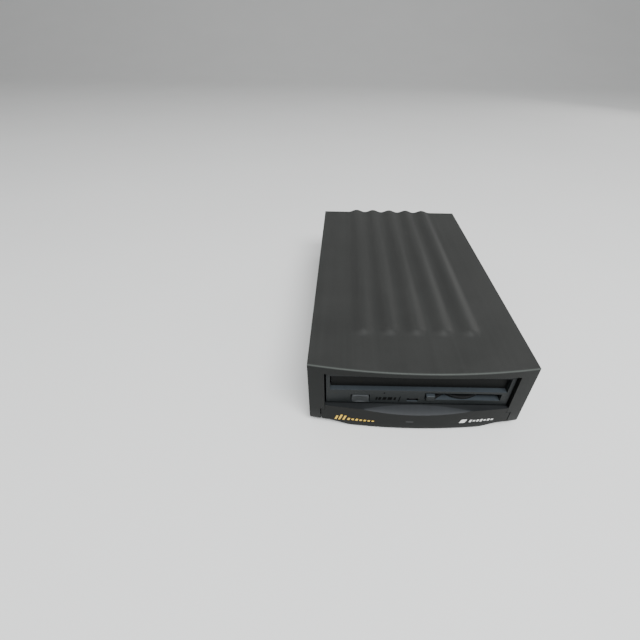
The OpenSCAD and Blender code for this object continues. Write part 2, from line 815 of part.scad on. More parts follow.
module lever_clip() {
    color([0.5, 0.5, 0.52])
    translate([lever_x, pivot_y, clip_z]) difference() {
        cylinder(r = post_r + 1.4, h = clip_t);
        translate([0, 0, -EPS]) cylinder(r = groove_r + 0.02, h = clip_t + 2 * EPS);
        translate([-0.9, 0, -EPS]) cube([1.8, post_r + 3, clip_t + 2 * EPS]);
    }
}

module loading_slide() {
    bridge_y = pivot_y + post_r + 1.9;
    rail_y0 = spindle_y - 24;
    rail_y1 = spindle_y + 20;
    slot_r = lift_pin_r + 0.1;
    rail_low = lift_pin_z - slot_r - 1.1;
    color([0.66, 0.67, 0.7])
    difference() {
        union() {
            span([-flange_x, bridge_y, slide_z], [lever_x + 3, pivot_y + cam_r0 + 4.4, slide_z + slide_t]);
            for (sx = [-1, 1]) {
                x0 = sx > 0 ? rail_x - rail_t / 2 : -flange_x;
                span([x0, bridge_y, slide_z], [x0 + flange_x - rail_x + rail_t / 2, rail_y1, slide_z + slide_t]);
                span([sx * rail_x - rail_t / 2, rail_y0, rail_low],
                     [sx * rail_x + rail_t / 2, rail_y1, slide_z + slide_t]);
            }
            translate([lever_x, pivot_y + cam_r0, hub_z + 0.2]) cylinder(r = cam_pin_r, h = slide_z - hub_z);
        }
        for (sx = [-1, 1], sy = [-1, 1]) translate([sx * rail_x - rail_t, spindle_y + sy * lift_pin_y, lift_pin_z]) {
            rod_x(slot_r, 2 * rail_t);
            translate([0, -cam_throw, motor_lift]) rod_x(slot_r, 2 * rail_t);
            a = atan2(motor_lift, -cam_throw);
            rotate([a, 0, 0]) translate([0, 0, -slot_r])
                cube([2 * rail_t, norm([motor_lift, cam_throw]), 2 * slot_r]);
        }
    }
}

module motor_carriage() {
    half = carriage_w / 2;
    color([0.66, 0.67, 0.7])
    difference() {
        union() {
            span_x(half, [spindle_y - 24, spindle_y + 24], [carriage_z, carriage_z + carriage_t]);
            for (sx = [-1, 1]) {
                span([sx * (half - 0.5) - 0.5, spindle_y - 18, lift_pin_z - 1.4],
                     [sx * (half - 0.5) + 0.5, spindle_y + 18, carriage_z + FINE]);
                for (sy = [-1, 1]) translate([sx > 0 ? half - 0.6 : -half - 2.4,
                    spindle_y + sy * lift_pin_y, lift_pin_z]) rod_x(lift_pin_r, 3);
            }
        }
        for (sy = [-1, 1]) translate([0, spindle_y + sy * guide_post_y, carriage_z - EPS])
            cylinder(r = guide_post_r + run_gap, h = carriage_t + 2 * EPS);
        translate([0, spindle_y, carriage_z - EPS]) cylinder(r = 4.5, h = carriage_t + 2 * EPS);
    }
}

module carriage_posts() {
    head_h = 0.8;
    color([0.75, 0.75, 0.76])
    for (sy = [-1, 1]) translate([0, spindle_y + sy * guide_post_y, carriage_z - head_h - 0.1]) {
        cylinder(r = guide_post_r, h = z_deck_low - carriage_z + head_h + 0.1);
        cylinder(r = guide_post_r + 1, h = head_h);
    }
}

shaft_r = 1.6;
can_top = z_deck_low - 0.4;
chuck_z = can_top + 0.2;

module spindle_motor() {
    base = carriage_z + carriage_t;
    color([0.55, 0.56, 0.58])
    translate([0, spindle_y, 0]) difference() {
        union() {
            translate([0, 0, base]) cylinder(r = motor_r, h = can_top - base);
            translate([0, 0, base - 2.4]) cylinder(r = 4.4, h = 2.5);
        }
        translate([0, 0, base - 3]) cylinder(r = shaft_r + run_gap, h = 10);
    }
}

module spindle_hub() {
    nose_h = z_slot - 0.3 - chuck_z;
    color([0.8, 0.8, 0.82])
    translate([0, spindle_y, chuck_z]) {
        cylinder(r = chuck_r, h = nose_h - 0.6);
        cylinder(r = 3, h = nose_h);
        translate([0, 0, -6]) cylinder(r = shaft_r, h = 6.1);
    }
}

// ---------- heads and their motor ----------

hub_post_r = 2.2;
arm_hub_r = 5;
lift_tab = 4;

module head_arm() {
    root = 4;
    tip = 1.6;
    color([0.78, 0.79, 0.8])
    translate([arm_x, arm_y, 0]) difference() {
        union() {
            translate([0, 0, arm_z_low - 0.6]) cylinder(r = arm_hub_r, h = arm_z_high - arm_z_low + arm_t + 1.2);
            for (z = [arm_z_low, arm_z_high]) translate([0, 0, z]) {
                linear_extrude(arm_t) polygon([[0, -root], [0, root], [-arm_l, tip], [-arm_l, -tip]]);
                translate([-arm_l - lift_tab, -0.6, 0]) cube([lift_tab + 1, 1.2, arm_t]);
            }
            translate([0, 0, coil_z + 0.2]) linear_extrude(coil_t - 0.4)
                polygon(sector(arm_hub_r - 1, coil_r0 - FINE, -coil_half, coil_half));
        }
        translate([0, 0, arm_z_low - 2]) cylinder(r = hub_post_r + run_gap, h = 12);
    }
}

module head_coil() {
    wind = 3;
    color([0.72, 0.4, 0.2])
    translate([arm_x, arm_y, coil_z]) linear_extrude(coil_t) difference() {
        polygon(sector(coil_r0, coil_r1, -coil_half, coil_half));
        polygon(sector(coil_r0 + wind, coil_r1 - wind, -coil_half / 2, coil_half / 2));
    }
}

module read_heads() {
    slider = [2.4, 1.8, 0.5];
    color([0.35, 0.35, 0.37])
    for (z = [arm_z_low + arm_t, arm_z_high - slider[2]])
        translate([arm_x - arm_l + 1.2, arm_y - slider[1] / 2, z]) cube(slider);
}

module arm_post() {
    color([0.75, 0.75, 0.76])
    translate([arm_x, arm_y, z_deck]) {
        cylinder(r = hub_post_r, h = arm_z_high - z_deck + 3);
        cylinder(r = 4, h = arm_z_low - 0.9 - z_deck);
        translate([0, 0, arm_z_high + arm_t + 0.8 - z_deck]) cylinder(r = 3.4, h = 0.8);
    }
}

yoke_r0 = 8;
yoke_r1 = coil_r1 + 1;
yoke_a0 = -coil_half - 14;
yoke_a1 = arm_swing + coil_half + 14;
stand_r = 1.6;

module yoke_plate() {
    linear_extrude(yoke_t) polygon(sector(yoke_r0, yoke_r1, yoke_a0, yoke_a1, 24));
}

module magnet_yoke_lower() {
    color([0.6, 0.61, 0.63])
    translate([arm_x, arm_y, yoke_z]) {
        yoke_plate();
        for (a = [yoke_a0 + 5.5, yoke_a1 - 5.5]) rotate(a) translate([20, 0, 0])
            cylinder(r = stand_r, h = yoke_top_z - yoke_z - FINE);
    }
}

module magnet_yoke_upper() {
    color([0.6, 0.61, 0.63])
    translate([arm_x, arm_y, yoke_top_z]) yoke_plate();
}

module coil_magnets() {
    color([0.4, 0.4, 0.42])
    for (z = [yoke_z + yoke_t, yoke_top_z - magnet_t]) translate([arm_x, arm_y, z])
        linear_extrude(magnet_t) polygon(sector(coil_r0 + 0.5, coil_r1 - 0.5, yoke_a0 + 16, yoke_a1 - 16, 24));
}

module head_ramp() {
    x_tip = arm_x - arm_l;
    ledge_low = arm_z_low + arm_t + 0.3;
    ledge_high = arm_z_high - 0.3;
    color([0.88, 0.86, 0.8])
    translate([x_tip, arm_y, 0]) {
        span([-7.5, -3, ledge_low], [-0.6, 4, ledge_high]);
        span([-11, -3, z_deck], [-lift_tab - 3, 4, ledge_high + 1.4]);
    }
}

// Guide rail along one side of the cartridge bay, with a stop at its inner end.
module cartridge_guide(side) {
    x1 = x_bay - guide_gap;
    bay_end = y_face + 101;
    color([0.15, 0.15, 0.16])
    mirror([side < 0 ? 1 : 0, 0, 0]) {
        span([x1 - guide_t, y_chassis + 10, z_deck + FINE], [x1, bay_end, z_slot_top - 0.4]);
        span([x1 - 4.5, bay_end, z_deck + FINE], [x1, bay_end + 1.2, z_deck + 4]);
    }
}

module cartridge_guide_left() {
    cartridge_guide(-1);
}

module cartridge_guide_right() {
    cartridge_guide(1);
}

// ---------- boards and leads ----------

data_x = -11;
data_w = 70;
power_x = 36;
power_w = 20;
header_d = 9;
header_h = 6;
header_wall = 0.8;

module drive_board() {
    color([0.1, 0.3, 0.18])
    difference() {
        span_x(x_bay - 1.8, [board_y, y_end - chassis_t - 0.2], [board_z, board_top]);
        span_x(rail_x + 2.6, [spindle_y - 27, spindle_y + 29], [board_z - EPS, board_top + EPS]);
        for (sx = [-1, 1], y = mount_y) translate([sx * mount_x, y, board_z - EPS])
            cylinder(r = mount_r + 0.4, h = pcb_t + 2 * EPS);
        for (p = board_spots()) translate([p[0], p[1], board_z - EPS])
            cylinder(r = small_r + hole_gap, h = pcb_t + 2 * EPS);
    }
}

// Each chip's x, its distance before the drive's rear, and its size.
module board_chips() {
    chips = [[-26, 35, [16, 16, 2.2]], [-4, 33, [12, 18, 2.4]], [14, 35, [11, 11, 1.8]],
             [-26, 53, [10, 7, 1.6]], [32, 47, [9, 14, 2]], [-36, 73, [8, 18, 1.8]], [32, 77, [9, 9, 1.8]]];
    color([0.08, 0.08, 0.09])
    for (c = chips) translate([c[0] - c[2][0] / 2, y_end - c[1] - c[2][1] / 2, board_top]) cube(c[2]);
}

// Box header that opens backwards.
module box_header(x, w) {
    difference() {
        span([x - w / 2, y_end - header_d, board_top], [x + w / 2, y_end, board_top + header_h]);
        span([x - w / 2 + header_wall, y_end - header_d + 2, board_top + header_wall],
             [x + w / 2 - header_wall, y_end + EPS, board_top + header_h - header_wall]);
    }
}

// Plug that sits in a box header and stands out behind it.
module header_plug(x, w) {
    slack = header_wall + 0.1;
    span([x - w / 2 + slack, y_end - header_d + 2.2, board_top + slack],
         [x + w / 2 - slack, y_plug, board_top + header_h - slack]);
}
y_plug = y_end + 5;
z_plug = board_top + header_h / 2;

module drive_data_header() {
    color([0.12, 0.12, 0.13]) box_header(data_x, data_w);
}

module drive_power_header() {
    color([0.85, 0.84, 0.8]) box_header(power_x, power_w);
}

module ribbon_plug_front() {
    color([0.2, 0.2, 0.22]) header_plug(data_x, data_w);
}

module power_plug_front() {
    color([0.9, 0.89, 0.85]) header_plug(power_x, power_w);
}

board_io_y = io_y - pcb_t;
y_tail = board_io_y - 9;
ribbon_z = z_base + 21;
ribbon_w = 63.5;
ribbon_t = 0.9;
leads_x = 20;
leads_z = z_base + 12;

// Smooth step from 0 to 1.
function ease(t) = t * t * (3 - 2 * t);

module ribbon_cable() {
    steps = 20;
    hump = 7;
    mid = [for (i = [0:steps]) let (t = i / steps)
        [y_plug + (y_tail - y_plug) * t, z_plug + (ribbon_z - z_plug) * ease(t) + hump * pow(sin(180 * t), 2)]];
    edge = concat([for (p = mid) p - [0, ribbon_t / 2]],
                  [for (i = [steps:-1:0]) mid[i] + [0, ribbon_t / 2]]);
    color([0.55, 0.56, 0.58])
    translate([data_x - ribbon_w / 2, 0, 0]) rotate([90, 0, 90]) linear_extrude(ribbon_w) polygon(edge);
}

module ribbon_plug_rear() {
    color([0.2, 0.2, 0.22])
    span([data_x - data_w / 2 + 1, y_tail, ribbon_z - 3], [data_x + data_w / 2 - 1, board_io_y - FINE, ribbon_z + 3]);
}

module power_plug_rear() {
    color([0.9, 0.89, 0.85])
    span([leads_x - 7, y_tail, leads_z - 2.6], [leads_x + 7, board_io_y - FINE, leads_z + 2.6]);
}

// Tube whose rings lie across the y axis, along a smooth step from one point to another.
module eased_lead(from, to, r) {
    sides = 8;
    rings = 16;
    points = [for (i = [0:rings]) let (t = i / rings, e = ease(t)) for (k = [0:sides - 1])
        [from[0] + (to[0] - from[0]) * e + r * cos(360 * k / sides),
         from[1] + (to[1] - from[1]) * t,
         from[2] + (to[2] - from[2]) * e + r * sin(360 * k / sides)]];
    skin = [for (i = [0:rings - 1]) for (k = [0:sides - 1]) let (n = (k + 1) % sides)
        [i * sides + k, i * sides + n, (i + 1) * sides + n, (i + 1) * sides + k]];
    ends = [[for (k = [sides - 1:-1:0]) k], [for (k = [0:sides - 1]) rings * sides + k]];
    polyhedron(points, concat(skin, ends));
}

module power_leads() {
    lead_pitch = 3.2;
    color([0.7, 0.15, 0.12])
    for (i = [-1.5:1.5]) eased_lead([power_x + i * lead_pitch, y_plug, z_plug],
                                    [leads_x + i * lead_pitch, y_tail, leads_z], 0.8);
}

module io_board() {
    color([0.1, 0.3, 0.18])
    span([-51, board_io_y, z_floor + 3], [29, io_y, z_ceiling - 3]);
}

// ---------- rear panel and its connectors ----------

// Outline of a D-shaped connector, wider at the top, with cut corners.
function d_outline(w, h) =
    let (c = 1.2, s = tan(10), t = w / 2, b = w / 2 - h * s, y = h / 2,
         half = [[b - c, -y], [b + c * s, c - y], [t - c * s, y - c], [t - c, y]])
    concat(half, [for (i = [3:-1:0]) [-half[i][0], half[i][1]]]);

// D-shaped plate across the y axis, from y = 0.
module d_panel(w, h, t) {
    translate([0, t, 0]) rotate([90, 0, 0]) linear_extrude(t) polygon(d_outline(w, h));
}

flange_y = y_panel - 0.02 - flange_t;
port_tip = y_rear - 0.3;
shell_t = 0.5;

module port_shell(z) {
    color([0.75, 0.75, 0.76])
    translate([port_x, 0, z]) difference() {
        union() {
            span_x(flange_w / 2, [flange_y, flange_y + flange_t], [-flange_h / 2, flange_h / 2]);
            translate([0, flange_y, 0]) d_panel(port_w, port_h, port_tip - flange_y);
        }
        translate([0, flange_y - EPS, 0])
            d_panel(port_w - 2 * shell_t, port_h - 2 * shell_t, port_tip - flange_y + 2 * EPS);
        for (sx = [-1, 1]) translate([sx * jack_pitch / 2, flange_y - EPS, 0]) rod_y(jack_hole_r, 3);
    }
}

module port_insert(z) {
    row = 2.84;
    pitch = 2.76;
    contact_r = 0.6;
    slack = 2 * shell_t + 0.1;
    color([0.1, 0.1, 0.11])
    translate([port_x, 0, z]) difference() {
        union() {
            translate([0, io_y + FINE, 0]) d_panel(port_w - slack, port_h - slack, port_tip - 0.2 - io_y);
            span_x(20.5, [io_y + FINE, flange_y - 0.02], [-5, 5]);
        }
        for (i = [0:12]) translate([(i - 6) * pitch, port_tip - 4, row / 2]) rod_y(contact_r, 5, 16);
        for (i = [0:11]) translate([(i - 5.5) * pitch, port_tip - 4, -row / 2]) rod_y(contact_r, 5, 16);
    }
}

module port_shell_lower() {
    port_shell(port_z[0]);
}

module port_insert_lower() {
    port_insert(port_z[0]);
}

module port_shell_upper() {
    port_shell(port_z[1]);
}

module port_insert_upper() {
    port_insert(port_z[1]);
}

module jack_screws() {
    shank = 5;
    color([0.8, 0.8, 0.82])
    for (z = port_z, sx = [-1, 1])
        translate([port_x + sx * jack_pitch / 2, panel_face + FINE, z]) difference() {
            union() {
                rotate([-90, 0, 0]) cylinder(r = jack_hex / 2 / cos(30), h = panel_inset - 0.4, $fn = 6);
                translate([0, -shank, 0]) rod_y(jack_hole_r - 0.02, shank + 1);
            }
            rod_y(1.1, panel_inset + EPS);
        }
}

module power_inlet() {
    tip = panel_face + 1;
    color([0.12, 0.12, 0.13])
    translate([inlet_x, 0, inlet_z]) difference() {
        translate([0, io_y + FINE, 0]) rod_y(inlet_r + inlet_wall, tip - io_y);
        translate([0, tip - inlet_depth, 0]) rod_y(inlet_r, inlet_depth + 1);
    }
}

module inlet_pins() {
    tip = panel_face + 1;
    ring_r = 3.5;
    color([0.85, 0.8, 0.6])
    for (a = [0:45:180]) translate([inlet_x + ring_r * cos(a), tip - inlet_depth + FINE, inlet_z + ring_r * sin(a)])
        rod_y(0.7, inlet_depth - 2, 24);
}

switch_half = [6.4, 9.4];
well_half = [4.9, 8.2];
rocker_y = y_panel - 1;
rocker_tilt = 8;
axle_r = 1;

module switch_body() {
    back = y_panel - 9;
    face = panel_face;
    color([0.1, 0.1, 0.11])
    translate([switch_x, 0, switch_z]) difference() {
        union() {
            span_x(switch_half[0], [back, face + 0.5], [-switch_half[1], switch_half[1]]);
            span_x(switch_half[0] + 1.2, [face + 0.02, face + 1.2], [-switch_half[1] - 1.2, switch_half[1] + 1.2]);
        }
        span_x(well_half[0], [y_panel - 5.4, face + 3], [-well_half[1], well_half[1]]);
        translate([-well_half[0] - 1, rocker_y, 0]) rod_x(axle_r + run_gap, 2 * well_half[0] + 2);
    }
}

module switch_rocker() {
    half = well_half[0] - 0.25;
    reach = well_half[1] - 0.6;
    color([0.16, 0.16, 0.17])
    translate([switch_x, rocker_y, switch_z]) rotate([-rocker_tilt, 0, 0]) {
        translate([-half, 0, 0]) rotate([90, 0, 90]) linear_extrude(2 * half)
            polygon([[2.9, -reach], [2.1, -reach / 2], [1.8, 0], [2.1, reach / 2], [2.9, reach],
                     [0.4, reach], [-2.6, 2.8], [-2.6, -2.8], [0.4, -reach]]);
        translate([-well_half[0] - 0.8, 0, 0]) rod_x(axle_r, 2 * well_half[0] + 1.6);
    }
}

wheel_r = 3.8;
wheel_w = 3.4;
wheel_y = panel_face - wheel_r;
key = [4.6, 2.6];
key_z = 6.2;
key_travel = 1;
key_in = 2.4;
key_proud = 1.2;
key_gap = 0.15;

module id_housing() {
    face = panel_face + 0.6;
    color([0.13, 0.13, 0.14])
    translate([id_x, 0, id_z]) difference() {
        span_x(id_half[0], [io_y + FINE, face], [-id_half[1], id_half[1]]);
        translate([-wheel_w / 2 - 0.2, wheel_y, 0]) rod_x(wheel_r + 0.4, wheel_w + 0.4);
        span_x(wheel_w / 2 + 0.2, [wheel_y, face + EPS], [-2.4, 2.4]);
        translate([-wheel_w / 2 - 1.5, wheel_y, 0]) rod_x(0.8 + run_gap, wheel_w + 3);
        for (sz = [-1, 1]) span_x(key[0] / 2 + key_gap, [face - key_in - key_travel - 0.6, face + EPS],
            [sz * key_z - key[1] / 2 - key_gap, sz * key_z + key[1] / 2 + key_gap]);
    }
}

module id_wheel() {
    color([0.85, 0.85, 0.83])
    translate([id_x, wheel_y, id_z]) difference() {
        union() {
            translate([-wheel_w / 2, 0, 0]) rod_x(wheel_r, wheel_w);
            translate([-wheel_w / 2 - 1.3, 0, 0]) rod_x(0.8, wheel_w + 2.6);
        }
        for (a = [0:45:315]) rotate([a + 22.5, 0, 0]) translate([-wheel_w, -0.25, wheel_r - 0.3])
            cube([2 * wheel_w, 0.5, 1]);
    }
}

module id_key(sz) {
    face = panel_face + 0.6;
    color([0.3, 0.31, 0.32])
    translate([id_x, face - key_in, id_z + sz * key_z]) round_panel(key[0], key[1], key_in + key_proud, 0.5);
}

module id_button_up() {
    id_key(1);
}

module id_button_down() {
    id_key(-1);
}

module rear_panel() {
    color([0.2, 0.21, 0.21])
    difference() {
        span_x(panel_half, [y_panel, panel_face], [panel_low, panel_high]);
        for (z = port_z) translate([port_x, y_panel - EPS, z]) {
            d_panel(port_w + 0.6, port_h + 0.6, panel_t + 2 * EPS);
            for (sx = [-1, 1]) translate([sx * jack_pitch / 2, 0, 0]) rod_y(jack_hole_r + 0.1, panel_t + 2 * EPS);
        }
        translate([inlet_x, y_panel - EPS, inlet_z]) rod_y(inlet_r + inlet_wall + 0.1, panel_t + 2 * EPS);
        translate([switch_x, 0, switch_z]) span_x(switch_half[0] + 0.1,
            [y_panel - EPS, panel_face + EPS], [-switch_half[1] - 0.1, switch_half[1] + 0.1]);
        translate([id_x, 0, id_z]) span_x(id_half[0] + 0.1,
            [y_panel - EPS, panel_face + EPS], [-id_half[1] - 0.1, id_half[1] + 0.1]);
        for (i = [-2:2]) translate([vent_x, y_panel - EPS, vent_z + i * 2.6]) round_panel(18, 1.3, panel_t + 2 * EPS, 0.6);
    }
}

top_cover();
bottom_tray();
rear_panel();
rubber_feet();
case_screws();
drive_screws();
drive_bracket();
drive_chassis();
drive_top_plate();
small_screws();
drive_bezel();
cartridge_door();
door_pin();
door_spring();
stop_button();
stop_switch();
status_window();
status_led();
eject_lever();
lever_post();
lever_clip();
loading_slide();
motor_carriage();
carriage_posts();
spindle_motor();
spindle_hub();
head_arm();
head_coil();
read_heads();
arm_post();
magnet_yoke_lower();
magnet_yoke_upper();
coil_magnets();
head_ramp();
cartridge_guide_left();
cartridge_guide_right();
drive_board();
board_chips();
drive_data_header();
drive_power_header();
ribbon_plug_front();
ribbon_cable();
ribbon_plug_rear();
power_plug_front();
power_leads();
power_plug_rear();
io_board();
port_shell_lower();
port_insert_lower();
port_shell_upper();
port_insert_upper();
jack_screws();
power_inlet();
inlet_pins();
switch_body();
switch_rocker();
id_housing();
id_wheel();
id_button_up();
id_button_down();
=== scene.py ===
"""Looks of a desktop drive for removable cartridges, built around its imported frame.

Every length below is in millimetres in the frame's own axes until make_mesh() turns it into metres.
"""
import json
import math

import bpy
import numpy as np
from mathutils import Matrix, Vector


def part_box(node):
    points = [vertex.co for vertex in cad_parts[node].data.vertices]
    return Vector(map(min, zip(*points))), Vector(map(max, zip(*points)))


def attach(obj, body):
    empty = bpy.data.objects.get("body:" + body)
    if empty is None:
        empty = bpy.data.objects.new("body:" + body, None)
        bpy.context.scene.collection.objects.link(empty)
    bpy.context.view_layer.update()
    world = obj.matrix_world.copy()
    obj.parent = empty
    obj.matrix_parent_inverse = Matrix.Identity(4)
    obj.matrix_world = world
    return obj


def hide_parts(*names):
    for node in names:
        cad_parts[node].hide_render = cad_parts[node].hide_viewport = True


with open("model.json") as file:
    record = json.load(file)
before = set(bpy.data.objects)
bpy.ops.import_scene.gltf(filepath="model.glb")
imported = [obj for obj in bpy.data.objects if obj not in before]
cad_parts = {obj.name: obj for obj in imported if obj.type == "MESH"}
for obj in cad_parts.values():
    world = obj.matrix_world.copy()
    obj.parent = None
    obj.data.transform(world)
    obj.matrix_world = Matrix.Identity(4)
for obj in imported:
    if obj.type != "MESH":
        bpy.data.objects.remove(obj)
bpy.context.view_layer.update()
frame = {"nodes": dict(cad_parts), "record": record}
MM = 0.001


def box_mm(node):
    """Lowest and highest corner of a CAD node, in millimetres."""
    low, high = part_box(node)
    return np.array(low) / MM, np.array(high) / MM


# ---------- driving sizes, read from the frame ----------

COVER_LOW, COVER_HIGH = box_mm("top_cover")
TRAY_LOW, TRAY_HIGH = box_mm("bottom_tray")
BEZEL_LOW, BEZEL_HIGH = box_mm("drive_bezel")
DOOR_LOW, DOOR_HIGH = box_mm("cartridge_door")
BUTTON_LOW, BUTTON_HIGH = box_mm("stop_button")
LEVER_LOW, LEVER_HIGH = box_mm("eject_lever")
PANEL_LOW, PANEL_HIGH = box_mm("rear_panel")
FEET_LOW, FEET_HIGH = box_mm("rubber_feet")
POST_LOW, POST_HIGH = box_mm("lever_post")
PIN_LOW, PIN_HIGH = box_mm("door_pin")

HALF_W = COVER_HIGH[0]
Y_NOSE = COVER_LOW[1]
Y_REAR = COVER_HIGH[1]
Z_BASE = COVER_LOW[2]
RIDGE_H = 2.0
Z_TOP = COVER_HIGH[2] - RIDGE_H
BOW = 5.5
BOW_R = (HALF_W ** 2 + BOW ** 2) / (2 * BOW)
WALL = 2.2
FRONT_T = 2.8
Y_CORNER = Y_NOSE + BOW
Y_FRONT_IN = Y_CORNER + FRONT_T
Y_FACE = BEZEL_LOW[1]
Y_LIP = Y_FACE - 0.2
Z_DRIVE = BEZEL_LOW[2]
OPEN_X = BEZEL_HIGH[0] + 0.8
CHIN_X = 54.25
Z_SEAM = Z_BASE + 9.7
Z_SILL = Z_BASE + 13.4
LIP_TAN = math.tan(math.radians(28.5))
SEAM = 0.3
SEAM_SIDE, SILL_SIDE = 0.5, 0.15
SCOOP_H, SCOOP_D = 2.8, 470
OPEN_H, POCKET_H = 24.8, 25.8
CASE_POST_R, DRIVE_POST_R, HEAD_R = 3.0, 3.2, 2.8
RIDGE_PITCH = 15.3
RIDGE_COUNT = 5
RIDGE_NOSE = Y_CORNER + 23.0
RIDGE_RISE = 5.5


def front_y(x):
    """Front surface: an arc of radius BOW_R whose middle stands BOW ahead of the corners."""
    return Y_NOSE + BOW_R - np.sqrt(BOW_R ** 2 - np.minimum(np.abs(x), HALF_W) ** 2)


def ease(t):
    """Smooth step 3t^2 - 2t^3 from 0 to 1, held at its ends."""
    t = np.clip(t, 0, 1)
    return t * t * (3 - 2 * t)


# ---------- meshes ----------

def mark_upward(mesh):
    """Stores on each face how far it looks up: the height of its unit normal, held above 0."""
    normal = np.empty(len(mesh.polygons) * 3)
    mesh.polygons.foreach_get("normal", normal)
    upward = mesh.attributes.get("upward") or mesh.attributes.new("upward", "FLOAT", "FACE")
    upward.data.foreach_set("value", np.clip(normal[2::3], 0, 1).astype(np.float32))


def make_mesh(name, points, faces, smooth_angle=32):
    """Object from points in millimetres and a list of faces; edges sharper than smooth_angle stay crisp."""
    mesh = bpy.data.meshes.new(name)
    mesh.from_pydata((np.asarray(points, float) * MM).tolist(), [], [list(map(int, f)) for f in faces])
    mesh.validate()
    mesh.polygons.foreach_set("use_smooth", np.ones(len(mesh.polygons), bool))
    mesh.set_sharp_from_angle(angle=math.radians(smooth_angle))
    mark_upward(mesh)
    piece = bpy.data.objects.new(name, mesh)
    bpy.context.scene.collection.objects.link(piece)
    return piece


def block_solid(xs, ys, zs, filled, place):
    """Points and quads of a solid made of boxes on a grid.

    filled(cx, cy, cz) says which cells are solid from their centres. Each face between a solid cell
    and an empty one becomes a quad, and place(x, y, z, i, j, k) moves the grid's points.
    """
    xs, ys, zs = (np.asarray(v, float) for v in (xs, ys, zs))
    centres = np.meshgrid(*((v[1:] + v[:-1]) / 2 for v in (xs, ys, zs)), indexing="ij")
    solid = np.pad(filled(*centres), 1)
    ids = np.arange(len(xs) * len(ys) * len(zs)).reshape(len(xs), len(ys), len(zs))
    quads = []
    for axis in range(3):
        cells = np.moveaxis(solid, axis, 0)[:, 1:-1, 1:-1]
        grid = np.moveaxis(ids, axis, 0)
        loop = np.stack([grid[:, :-1, :-1], grid[:, 1:, :-1], grid[:, 1:, 1:], grid[:, :-1, 1:]], -1)
        if axis == 1:
            loop = loop[..., ::-1]
        quads.append(loop[cells[:-1] & ~cells[1:]])
        quads.append(loop[~cells[:-1] & cells[1:]][:, ::-1])
    quads = np.concatenate(quads)
    used, faces = np.unique(quads, return_inverse=True)
    index = np.unravel_index(used, ids.shape)
    x, y, z = place(xs[index[0]], ys[index[1]], zs[index[2]], *index)
    return np.stack([x, y, z], 1), faces.reshape(-1, 4)


def every_cell(cx, cy, cz):
    """Fills the whole grid."""
    return np.ones(cx.shape, bool)


def stay(x, y, z, i, j, k):
    """Leaves every grid point where it is."""
    return x, y, z


def loft(rings, hollow=False):
    """Points and faces through rings of equal length: a flat face closes each end.

    A hollow one has none, and goes from its last ring back to its first instead.
    """
    count, size = rings.shape[:2]
    ids = np.arange(count * size).reshape(count, size)
    rows = np.concatenate([ids, ids[:1]]) if hollow else ids
    turn = np.roll(rows, -1, 1)
    faces = np.stack([rows[:-1], turn[:-1], turn[1:], rows[1:]], -1).reshape(-1, 4).tolist()
    if not hollow:
        faces += [ids[0, ::-1].tolist(), ids[-1].tolist()]
    return rings.reshape(-1, 3), faces


def tube(path, r, steps=12):
    """Round wire along a path in space: each ring stands square to the path's local direction.

    A ring's first axis is the direction crossed with x, and its second is the direction crossed with that.
    """
    ahead = np.gradient(path, axis=0)
    ahead = ahead / np.linalg.norm(ahead, axis=1, keepdims=True)
    first = np.cross(ahead, (1, 0, 0))
    first = first / np.linalg.norm(first, axis=1, keepdims=True)
    second = np.cross(ahead, first)
    ring = circle(r, steps)
    return loft(path[:, None] + ring[:, :1] * first[:, None] + ring[:, 1:] * second[:, None])


def inset(outline, d):
    """Closed outline moved inwards by d: each point goes along the mean normal of its two edges."""
    ahead = np.roll(outline, -1, 0) - outline
    ahead = ahead / np.linalg.norm(ahead, axis=1, keepdims=True)
    behind = np.roll(ahead, 1, 0)
    normal = np.stack([-(ahead + behind)[:, 1], (ahead + behind)[:, 0]], 1)
    normal = normal / np.linalg.norm(normal, axis=1, keepdims=True)
    lean = np.sqrt(np.clip((1 + (ahead * behind).sum(1, keepdims=True)) / 2, 0.3, 1))
    return outline + normal * d / lean


def round_rect(w, h, r, steps=6):
    """Counter-clockwise rectangle with quarter-circle corners of radius r, centred on the origin."""
    a = np.radians(np.linspace(0, 90, steps + 1))
    corner = np.stack([np.cos(a), np.sin(a)], 1) * r
    parts = []
    for q, (sx, sy) in enumerate(((1, 1), (-1, 1), (-1, -1), (1, -1))):
        turn = np.array([[math.cos(q * math.pi / 2), math.sin(q * math.pi / 2)],
                         [-math.sin(q * math.pi / 2), math.cos(q * math.pi / 2)]])
        parts.append(corner @ turn + [sx * (w / 2 - r), sy * (h / 2 - r)])
    return np.concatenate(parts)


def circle(r, steps=48):
    """Counter-clockwise circle about the origin."""
    a = np.linspace(0, 2 * math.pi, steps, endpoint=False)
    return np.stack([np.cos(a), np.sin(a)], 1) * r


def round_prism(outline, low, high, r_low, r_high, steps=4):
    """Upright prism on an outline whose lower and upper edges are rounded by r_low and r_high.

    Each ring is the outline inset by r(1 - cos a) at a height r(1 - sin a) short of the end.
    """
    a = np.radians(np.linspace(90, 0, steps + 1))
    rings = [(0, low)]
    if r_low:
        rings = [(r_low * (1 - np.cos(t)), low + r_low * (1 - np.sin(t))) for t in a]
    if r_high:
        rings += [(r_high * (1 - np.cos(t)), high - r_high * (1 - np.sin(t))) for t in a[::-1]]
    else:
        rings.append((0, high))
    return loft(np.stack([np.column_stack([inset(outline, d), np.full(len(outline), z)]) for d, z in rings]))


def turned(profile, at, hollow=False, steps=48):
    """Solid turned about the upright axis through a place, from (radius, height) pairs that go upwards."""
    rings = [np.column_stack([circle(r, steps), np.full(steps, z)]) for r, z in profile]
    return loft(np.stack(rings) + at, hollow)


def corners(low, high, r):
    """The four centres of round things of radius r that just fill a box's plan."""
    return [np.array([x, y, 0]) for x in (low[0] + r, high[0] - r) for y in (low[1] + r, high[1] - r)]


